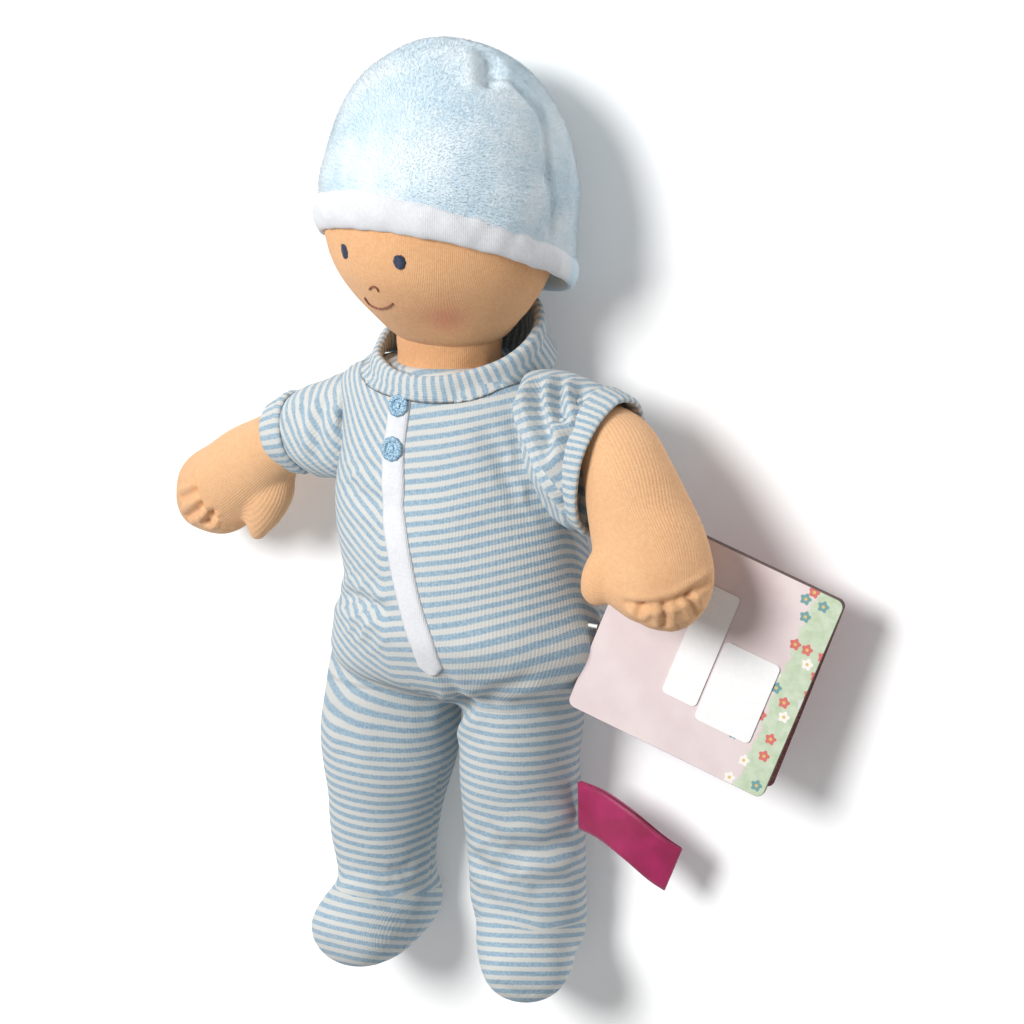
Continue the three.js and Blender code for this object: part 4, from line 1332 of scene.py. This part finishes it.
def build_eye(tree, name, thread_cloth):
    """Satin stitches side by side, filling an oval on the face."""
    x, y, half_width, half_height = EYES[name]
    centre, normal, side, up = facing_on(tree, x, y)
    threads = []
    rows = 17
    for row in range(rows):
        share = (row + 0.5) / rows * 2 - 1
        reach = half_width * math.sqrt(1 - share * share) + 0.25 + 0.12 * math.sin(row * 7.3)
        line = []
        for step in range(7):
            place = step / 6 * 2 - 1
            spot = centre + up * (share * half_height) + side * (place * reach)
            near = tree.find_nearest(spot)[0]
            line.append(near + normal * (0.75 * (1 - place * place) - 0.1))
        threads.append(thread_tube(line, radius=half_height / rows * 1.25, sides=6, normal=normal))
    stitched(name + "_threads", threads, thread_cloth, "navy_thread", "head", name)


# The embroidered lines in the photograph, and how many stitches each has
FACE_LINES = {
    "nose_stitch": [(369.5, 289.5), (371.5, 286.8), (374.5, 286.2), (377.5, 288.2), (378.5, 290.8)],
    "mouth_stitch": [(365, 297), (368.5, 302.5), (374, 306.6), (381, 308.3), (388, 306.6), (393, 303)],
}
STITCHES = {"nose_stitch": 5, "mouth_stitch": 8}


def build_face_line(tree, name, thread_cloth):
    """A row of back stitches along a line of the face."""
    spans = 24
    path = smooth_rows(FACE_LINES[name], spans + 1)
    places = [seen_on(tree, x, y) for x, y in path]
    count = STITCHES[name]
    threads = []
    for stitch in range(count):
        line = []
        for step in range(5):
            share = stitch / count * spans + step / 4 * (spans / count + 1.2)
            low = min(int(share), spans - 1)
            spot = places[low].lerp(places[low + 1], min(share - low, 1.0))
            normal = tree.find_nearest(spot)[1]
            line.append(spot + normal * (0.32 if 0 < step < 4 else 0.05))
        threads.append(thread_tube(line, radius=0.42, sides=6, normal=normal))
    stitched(name + "_threads", threads, thread_cloth, "brown_thread", "head", name)


# Hat: a plush crown over a rolled jersey edge

# The height of the hat's edge above the head's base
HAT_EDGE = {"front": 50, "back": 14}
# Degrees around from the front; behind this the hat's rolled edge is plush
HAT_SIDE_SEAM = 101
# The hat sits a little towards the doll's left
HAT_ASKEW = Matrix.Translation(Vector((1.6, 0, -0.6)))
# The hat's rows of height, half width and half depth, from its edge to its crown
HAT_ROWS = [(along * (HEAD_LENGTH + 7), width * (HEAD_HALF_WIDTH - 0.4), depth * (HEAD_HALF_DEPTH - 0.4))
            for along, width, depth in smooth_rows(
                [[-0.1, 1, 1], [0.45, 1, 1], [0.6, 0.95, 0.95], [0.76, 0.83, 0.83], [0.9, 0.6, 0.6],
                 [0.99, 0.28, 0.28], [1.02, 0.02, 0.02]], 60)]


def hat_edge(angle):
    """Height of the hat's edge above the head's base, at an angle around from the front."""
    front, back = HAT_EDGE["front"], HAT_EDGE["back"]
    return (front + back) / 2 + (front - back) / 2 * math.cos(angle)


def hat_point(angle, y, grow):
    """A place on the hat, at an angle around from the front and a height, outside its rows by grow."""
    y = max(HAT_ROWS[0][0], min(HAT_ROWS[-1][0], y))
    for low, high in zip(HAT_ROWS, HAT_ROWS[1:]):
        if y <= high[0]:
            share = (y - low[0]) / (high[0] - low[0])
            width = low[1] + (high[1] - low[1]) * share + grow
            depth = low[2] + (high[2] - low[2]) * share + grow
            return Vector((width * math.sin(angle), y, HEAD_FORWARD + depth * math.cos(angle)))
    return Vector((0, y, HEAD_FORWARD))


# Folds of the hat: points of the photograph, depth, width and how much of each end fades
HAT_FOLDS = [
    ([(486, 48), (488, 62), (489, 80), (494, 92)], 3.6, 4.0, 0.3),
    ([(489, 72), (512, 82), (540, 112), (548, 170), (550, 255)], 1.6, 2.2, 0.1),
]
# Where the crown starts above the hat's edge, its gap over the head and how much more it puffs out
# halfway up, and the share of its rings after which it closes at the top
CROWN_START = 4
CROWN_GAP = 3.4
CROWN_PUFF = 1.2
CROWN_CLOSING = 0.985
# The inputs of its plush pile, and the least and the most that a hair leans
PILE = {"Hairs per square millimetre": 1.25, "Hair length": 1.1,
        "Hair radius": 0.11, "Seed": 7}
PILE_LEAN = ((0.5, -0.4, -0.3), (1.2, 0.4, 0.3))


def build_hat_crown(cloth):
    around, levels = ((180, 90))
    top = HAT_ROWS[-1][0]
    rings = []
    for level in range(levels):
        share = level / (levels - 1)
        ring = []
        for angle in turn_angles(around):
            low = hat_edge(angle) + CROWN_START
            y = low + (top - low) * math.sin(share * math.pi / 2) ** 1.05
            point = hat_point(angle, y, CROWN_GAP + CROWN_PUFF * math.sin(share * math.pi))
            if share > CROWN_CLOSING:
                point.x *= 0.35
                point.z = HEAD_FORWARD + (point.z - HEAD_FORWARD) * 0.35
            point.y += 0.6 * share
            ring.append(point)
        rings.append(ring)
    mesh = rings_mesh("hat_crown", rings)
    mesh.transform(HAT_ASKEW @ head_place())
    tree = tree_of(mesh)
    folds = [crease_on(tree, path, depth, width, 0.3, fade) for path, depth, width, fade in HAT_FOLDS]
    creased(mesh, folds, roughness=1.6, size=28, seed=12.0)
    crown = with_pile(mesh, cloth)
    finished(crown, cloth, "plush", "hat", "hat_front_panel", "hat_back_panel")


def pile_tree(material):
    """Short hairs standing all over a surface, leaning at random."""
    tree = bpy.data.node_groups.new("plush pile", "GeometryNodeTree")
    face = tree.interface
    face.new_socket("Geometry", in_out="INPUT", socket_type="NodeSocketGeometry")
    for name, value in PILE.items():
        kind = "NodeSocketInt" if isinstance(value, int) else "NodeSocketFloat"
        face.new_socket(name, in_out="INPUT", socket_type=kind).default_value = value
    face.new_socket("Geometry", in_out="OUTPUT", socket_type="NodeSocketGeometry")
    given, spread, hair, lean, leant, turned, hairs, both, real, dressed, result = (
        tree.nodes.new(kind) for kind in (
            "NodeGroupInput", "GeometryNodeDistributePointsOnFaces", "GeometryNodeMeshCone",
            "FunctionNodeRandomValue", "FunctionNodeEulerToRotation", "FunctionNodeRotateRotation",
            "GeometryNodeInstanceOnPoints", "GeometryNodeJoinGeometry",
            "GeometryNodeRealizeInstances", "GeometryNodeSetMaterial", "NodeGroupOutput"))
    hair.fill_type = "NONE"
    hair.inputs["Vertices"].default_value = 3
    lean.data_type = "FLOAT_VECTOR"
    lean.inputs[0].default_value, lean.inputs[1].default_value = PILE_LEAN
    turned.rotation_space = "LOCAL"
    dressed.inputs["Material"].default_value = material
    for source, output, target, entry in (
        (given, "Geometry", spread, "Mesh"),
        (given, "Hairs per square millimetre", spread, "Density"),
        (given, "Seed", spread, "Seed"),
        (given, "Hair radius", hair, "Radius Bottom"),
        (given, "Hair length", hair, "Depth"),
        (given, "Seed", lean, "Seed"),
        (lean, 0, leant, 0),
        (spread, "Rotation", turned, "Rotation"),
        (leant, 0, turned, "Rotate By"),
        (spread, "Points", hairs, "Points"),
        (hair, "Mesh", hairs, "Instance"),
        (turned, 0, hairs, "Rotation"),
        (given, "Geometry", both, 0),
        (hairs, 0, both, 0),
        (both, 0, real, 0),
        (real, 0, dressed, "Geometry"),
        (dressed, 0, result, 0),
    ):
        tree.links.new(source.outputs[output], target.inputs[entry])
    return tree


def with_pile(mesh, material):
    """The same skin with a pile of short hairs."""
    piece = as_object(mesh)
    modifier = piece.modifiers.new("pile", "NODES")
    modifier.node_group = pile_tree(material)
    for item in modifier.node_group.interface.items_tree:
        if item.name in PILE:
            modifier[item.identifier] = PILE[item.name]
    return applied(piece)


# The rolled edge's half height, half thickness and rise above the hat's edge, each first as it is
# behind and then how much more it is at the front
ROLL_TALL = (5.6, 2.4)
ROLL_THICK = (2.7, 1.1)
ROLL_RISE = (2.6, 1.6)


def build_hat_roll(jersey):
    around, sides = ((260, 24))
    rings = []
    for angle in turn_angles(around):
        lump = around_noise(angle, 0, 3.1)
        twist = around_noise(angle, 5, 6.0)
        front = 0.5 + 0.5 * math.cos(angle + 0.5)
        tall = ROLL_TALL[0] + ROLL_TALL[1] * front ** 2 + 0.8 * lump
        thick = ROLL_THICK[0] + ROLL_THICK[1] * front ** 3 + 0.3 * twist
        middle = hat_edge(angle) + ROLL_RISE[0] + ROLL_RISE[1] * front + 0.8 * lump
        base = hat_point(angle, middle, 0.4 + thick * 0.45)
        out = Vector((math.sin(angle), 0, math.cos(angle)))
        rings.append([base + out * (thick * math.cos(turned)) + Vector((0, tall * math.sin(turned), 0))
                      for turned in turn_angles(sides)])
    mesh = joined_band("hat_roll", rings, rounded=False)

    def rule(point):
        angle = math.atan2(point.x, point.z - HEAD_FORWARD)
        plush_share = smooth_share(math.degrees(abs(angle)), HAT_SIDE_SEAM, HAT_SIDE_SEAM + 2)
        return angle * HEAD_HALF_WIDTH, point.y, plush_share

    set_cloth(mesh, rule)
    mesh.transform(HAT_ASKEW @ head_place())
    creased(mesh, [], roughness=0.7, size=7, seed=2.0)
    finished(as_object(mesh), jersey, "white_jersey", "hat", "hat_lining")


# Card tag, label and pin

TAG_SIZE = 86
TAG_THICKNESS = 2.4
TAG_COVER = 0.8
TAG_ROUNDING = 3
# Where the card's corner by the pin lies, its lean, slope and turn in degrees, and how far it opens
TAG_CORNER = (60.5, -63.5, 52.5)
TAG_TURNS = (-7, 8, -19.5)
TAG_OPENING = 8
# The width of its green edge, and of the strip where blossoms lie
TAG_BORDER = 8.0
BLOSSOM_STRIP = 14.0


def tag_place():
    """Where the card lies."""
    lean, slope, turned = TAG_TURNS
    at = ORIGIN + Vector(TAG_CORNER)
    return Matrix.Translation(at) @ turn(turned, "Z") @ turn(slope, "Y") @ turn(lean, "X")


def cover_place():
    """Where its front cover lies, folded behind it."""
    fold = Vector((0, TAG_SIZE, -TAG_THICKNESS - 0.3))
    return tag_place() @ Matrix.Translation(fold) @ turn(TAG_OPENING, "X")


def card_sheet(name, low, high, faces, edges, pages=1):
    """A card with rounded corners, one finish on its faces and another on its cut edges. Between
    its pages the edge has fine grooves."""
    left, bottom, right, top = (low[0] + TAG_ROUNDING, low[1] + TAG_ROUNDING,
                                high[0] - TAG_ROUNDING, high[1] - TAG_ROUNDING)
    outline = []
    for x, y, start in ((right, top, 0), (left, top, 90), (left, bottom, 180), (right, bottom, 270)):
        for step in range(7):
            angle = math.radians(start + step * 15)
            outline.append((x + TAG_ROUNDING * math.cos(angle), y + TAG_ROUNDING * math.sin(angle)))
    step = (high[2] - low[2]) / pages
    layers = [(low[2], 0.12)]
    for page in range(pages):
        base = low[2] + step * page
        layers += [(base + step * 0.12, 0.0), (base + step * 0.88, 0.0)]
        if page < pages - 1:
            layers.append((base + step, 0.3))
    layers.append((high[2], 0.12))
    middle_x, middle_y = (low[0] + high[0]) / 2, (low[1] + high[1]) / 2
    size = (high[0] - low[0]) / 2
    rings = []
    for z, inset in layers:
        share = 1 - inset / size
        rings.append([(middle_x + (x - middle_x) * share, middle_y + (y - middle_y) * share, z)
                      for x, y in outline])
    mesh = rings_mesh(name, rings)
    mesh.materials.append(faces)
    mesh.materials.append(edges)
    mesh.polygons.foreach_set("material_index", [1] * (len(mesh.polygons) - 2) + [0, 0])
    set_cloth(mesh, lambda point: (point.x, point.y % (TAG_SIZE + 0.001), point.z))
    return as_object(mesh)


def build_tag(front_print, rear_print, edge):
    back = card_sheet("tag_card", (0, 0, -TAG_THICKNESS), (TAG_SIZE, TAG_SIZE, 0), front_print, edge, 3)
    front = card_sheet("tag_leaf", (0, -TAG_SIZE, -TAG_COVER), (TAG_SIZE, 0, 0), rear_print, edge)
    for piece, place, slot, body, node in (
        (back, tag_place(), "printed_card", "tag", "tag_back_cover"),
        (front, cover_place(), "rose_card", "tag_cover", "tag_front_cover"),
    ):
        piece.data.transform(Matrix.Scale(MM, 4) @ place)
        handed_over(piece, slot, body, node)


def printed_card(name):
    """A pale pink cover with small scattered blossoms and a soft green edge."""
    finish = Finish(name)
    across, along, _ = finish.cloth()
    flat = finish.node("ShaderNodeCombineXYZ", None, 0, across, along, 0.0)
    cells = {"feature": "F1", "voronoi_dimensions": "2D"}
    spread, kind, heart_place = (
        finish.node("ShaderNodeTexVoronoi", cells, output, Vector=flat, Scale=0.13, Randomness=0.7)
        for output in ("Distance", "Color", "Position"))
    middle = finish.parts(heart_place)
    parts = finish.parts(kind)
    around = (along - middle[1]).angle_over(across - middle[0])
    reach = 0.27 + 0.045 * (around * 5.0).sine()
    petals = 1.0 - (spread - reach).step(-0.02, 0.02)
    heart = 1.0 - spread.step(0.07, 0.1)
    strip = TAG_SIZE - BLOSSOM_STRIP
    chosen = (across + parts[2] * BLOSSOM_STRIP).step(strip, strip + 1.0) * parts[0].step(0.3, 0.32)
    cloud = finish.noise(0.05, 3.0, where=flat)
    ground = finish.mix(cloud.step(0.3, 0.7), colour(222, 204, 205), colour(230, 216, 215))
    leaves = finish.noise(0.25, 3.0, 0.6, where=flat)
    border = (across + leaves * 9.0).step(TAG_SIZE - TAG_BORDER, TAG_SIZE - TAG_BORDER + 2.0)
    green = finish.mix(leaves.step(0.3, 0.7), colour(186, 204, 172), colour(206, 218, 194))
    ground = finish.mix(border, ground, green)
    blossom = finish.mix(parts[1].step(0.3, 0.34), colour(214, 112, 106), colour(244, 238, 232))
    blossom = finish.mix(parts[1].step(0.66, 0.7), blossom, colour(112, 158, 160))
    ground = finish.mix(petals * chosen, ground, blossom)
    tint = finish.mix(heart * chosen, ground, colour(224, 190, 110))
    return finish.surface(Base_Color=tint, Roughness=0.45, Coat_Weight=0.15, Coat_Roughness=0.3)


def rose_card(name):
    """The leaf behind: dusty rose with pale specks."""
    finish = Finish(name)
    across, along, _ = finish.cloth()
    flat = finish.node("ShaderNodeCombineXYZ", None, 0, across, along, 0.0)
    speck = finish.noise(1.1, 3.0, 0.7, where=flat)
    tint = finish.mix(speck.step(0.52, 0.66), colour(150, 84, 84), colour(196, 150, 148))
    return finish.surface(Base_Color=tint, Roughness=0.5)


# Ribbon label: a folded loop out of the left leg's side seam

LABEL_WIDTH = 20
LABEL_THICKNESS = 0.36
# Half the gap between its two layers, at the turn, and how much more it is halfway
LABEL_TURN_RADIUS = 0.75
LABEL_PUFF = 0.5
# The ribbon's middle from the seam outward, and the way across its width
LABEL_LINE = [
    (54.5, -113.5, 27, 0.05, -1, 0),
    (66, -115, 29.5, -0.02, -1, 0.02),
    (79, -120.5, 31, -0.14, -1, 0.03),
    (90, -129, 28, -0.3, -1, 0),
    (96, -133.5, 25, -0.38, -1, 0),
]


def build_label(ribbon):
    steps = 26
    rows = smooth_rows(LABEL_LINE, steps)
    middle = [Vector(row[:3]) for row in rows]
    path = []
    for index, row in enumerate(rows):
        ahead = (middle[min(index + 1, steps - 1)] - middle[max(index - 1, 0)]).normalized()
        wide = Vector(row[3:]).normalized()
        gap = LABEL_TURN_RADIUS + LABEL_PUFF * math.sin(index / (steps - 1) * math.pi)
        path.append((middle[index], wide, wide.cross(ahead).normalized(), gap))
    loop = [(place + up * gap, wide, up) for place, wide, up, gap in path]
    end, end_wide, end_up, _ = path[-1]
    outward = (middle[-1] - middle[-2]).normalized()
    for degrees in (60, 30, 0, -30, -60):
        angle = math.radians(degrees)
        way = outward * math.cos(angle) + end_up * math.sin(angle)
        loop.append((end + way * LABEL_TURN_RADIUS, end_wide, way.normalized()))
    loop += [(place - up * gap, wide, -up) for place, wide, up, gap in reversed(path)]
    shares = [lane / 10 - 0.5 for lane in range(11)]
    rings = []
    for place, wide, up in loop:
        across = [place + wide * (share * LABEL_WIDTH) for share in shares]
        lift = up * (LABEL_THICKNESS / 2)
        rings.append([spot + lift for spot in across] + [spot - lift for spot in reversed(across)])
    mesh = rings_mesh("ribbon_label", rings)
    mesh.transform(body_place())
    set_cloth(mesh, lambda point: (point.y, point.x, 0))
    label = finished(as_object(mesh), ribbon, "satin_ribbon", "side_label", "side_label")


# Stage

def build_floor():
    """A wide pale floor; its own faint light keeps it near white, as the photograph's ground is."""
    mesh = bpy.data.meshes.new("floor")
    reach = 3.0
    corners = [(x * reach, y * reach, 0) for x, y in ((-1, -1), (1, -1), (1, 1), (-1, 1))]
    mesh.from_pydata(corners, [], [(0, 1, 2, 3)])
    floor = as_object(mesh)
    finish = Finish("pale floor")
    pale = finish.surface(Base_Color=(0.92, 0.92, 0.92, 1), Roughness=0.9, Specular_IOR_Level=0.0,
                          Emission_Color=(1, 1, 1, 1), Emission_Strength=0.12)
    mesh.materials.append(pale)


# Light from all around, and the lamp: metres across, up and back from the doll as the camera sees
# it, its size in metres and its power in watts
AMBIENT = 0.31
KEY_PLACE = (-1.5, 0.5, 1.75)
KEY_SIZE = 1.0
KEY_POWER = 57


def set_world():
    """White to the camera, and an even soft light on everything else."""
    world = bpy.data.worlds.new("white room")
    bpy.context.scene.world = world
    world.use_nodes = True
    tree = world.node_tree
    tree.nodes.clear()
    path, highest, level, light, out = (
        tree.nodes.new("ShaderNode" + kind)
        for kind in ("LightPath", "Math", "MapRange", "Background", "OutputWorld"))
    highest.operation = "MAXIMUM"
    level.inputs["To Min"].default_value = AMBIENT
    level.inputs["To Max"].default_value = 1.0
    light.inputs["Color"].default_value = (1, 1, 1, 1)
    for source, target in (
        (path.outputs["Is Camera Ray"], highest.inputs[0]),
        (path.outputs["Is Transmission Ray"], highest.inputs[1]),
        (highest.outputs[0], level.inputs["Value"]),
        (level.outputs[0], light.inputs["Strength"]),
        (light.outputs[0], out.inputs["Surface"]),
    ):
        tree.links.new(source, target)


def add_key_light():
    """A soft round panel to the left of the camera."""
    right, up, behind = view_axes()
    across, rise, back = KEY_PLACE
    data = bpy.data.lights.new("key", "AREA")
    data.shape = "DISK"
    data.size = KEY_SIZE
    data.energy = KEY_POWER
    lamp = bpy.data.objects.new("key", data)
    bpy.context.scene.collection.objects.link(lamp)
    middle = (ORIGIN + Vector((0, 0, 40))) * MM
    place = middle + right * across + up * rise + behind * back
    lamp.location = place
    lamp.rotation_euler = (middle - place).to_track_quat("-Z", "Y").to_euler()


# Everything together

def build_doll():
    romper_jersey = striped_jersey("striped romper jersey")
    whites = colour(232, 233, 236), colour(214, 217, 222)
    white = plain_jersey("white jersey", *whites, depth=0.0002)
    edge_jersey = plain_jersey("hat edge jersey", *whites, depth=0.0002, shaded=colour(208, 228, 239))
    skin = plain_jersey("apricot jersey", colour(242, 194, 148), colour(226, 171, 124), depth=0.0004)
    # The neck is the same apricot jersey as the arms; its darker colours are painted shade from the chin.
    shaded_skin = plain_jersey("neck jersey in painted shade", colour(232, 178, 130), colour(212, 154, 108), depth=0.0004)
    # The face is the same apricot jersey as the arms; its slightly deeper tone is painted shade from the hat,
    # while its blush is the doll's own colour.
    face = plain_jersey("face jersey", colour(246, 194, 144), colour(226, 166, 116), depth=0.0004,
                        shaded=colour(222, 132, 108))
    button_thread = thread("light blue thread", colour(96, 142, 174), colour(190, 218, 234))
    navy = thread("navy thread", colour(28, 38, 62), colour(50, 62, 92))
    brown = thread("brown thread", colour(120, 64, 40), colour(150, 88, 58))
    body_tree = tree_of(build_romper(romper_jersey).data, MM)
    build_collar(romper_jersey, body_tree)
    build_placket(body_tree, white)
    for name in BUTTONS:
        build_button(body_tree, name, button_thread)
    for word in SIDES:
        build_arm(word, skin)
        build_sleeve(word, romper_jersey)
        build_cuff(word, romper_jersey)
    build_neck(shaded_skin)
    head_tree = build_head(face)
    for name in EYES:
        build_eye(head_tree, name, navy)
    for name in FACE_LINES:
        build_face_line(head_tree, name, brown)
    build_hat_crown(plush("pale blue plush"))
    build_hat_roll(edge_jersey)
    build_tag(printed_card("printed card"), rose_card("rose card"), card_edge("card edge"))
    build_label(satin("raspberry satin"))
    paper = sticker_paper("sticker paper")
    for name, material in (("sticker_wide", paper), ("sticker_square", paper),
                           ("tag_pin", clear_nylon("clear nylon"))):
        node = frame["nodes"][name]
        node.data.materials.clear()
        node.data.materials.append(material)


build_doll()
build_floor()
set_world()
set_camera()
add_key_light()
bpy.context.scene.view_settings.view_transform = "Standard"
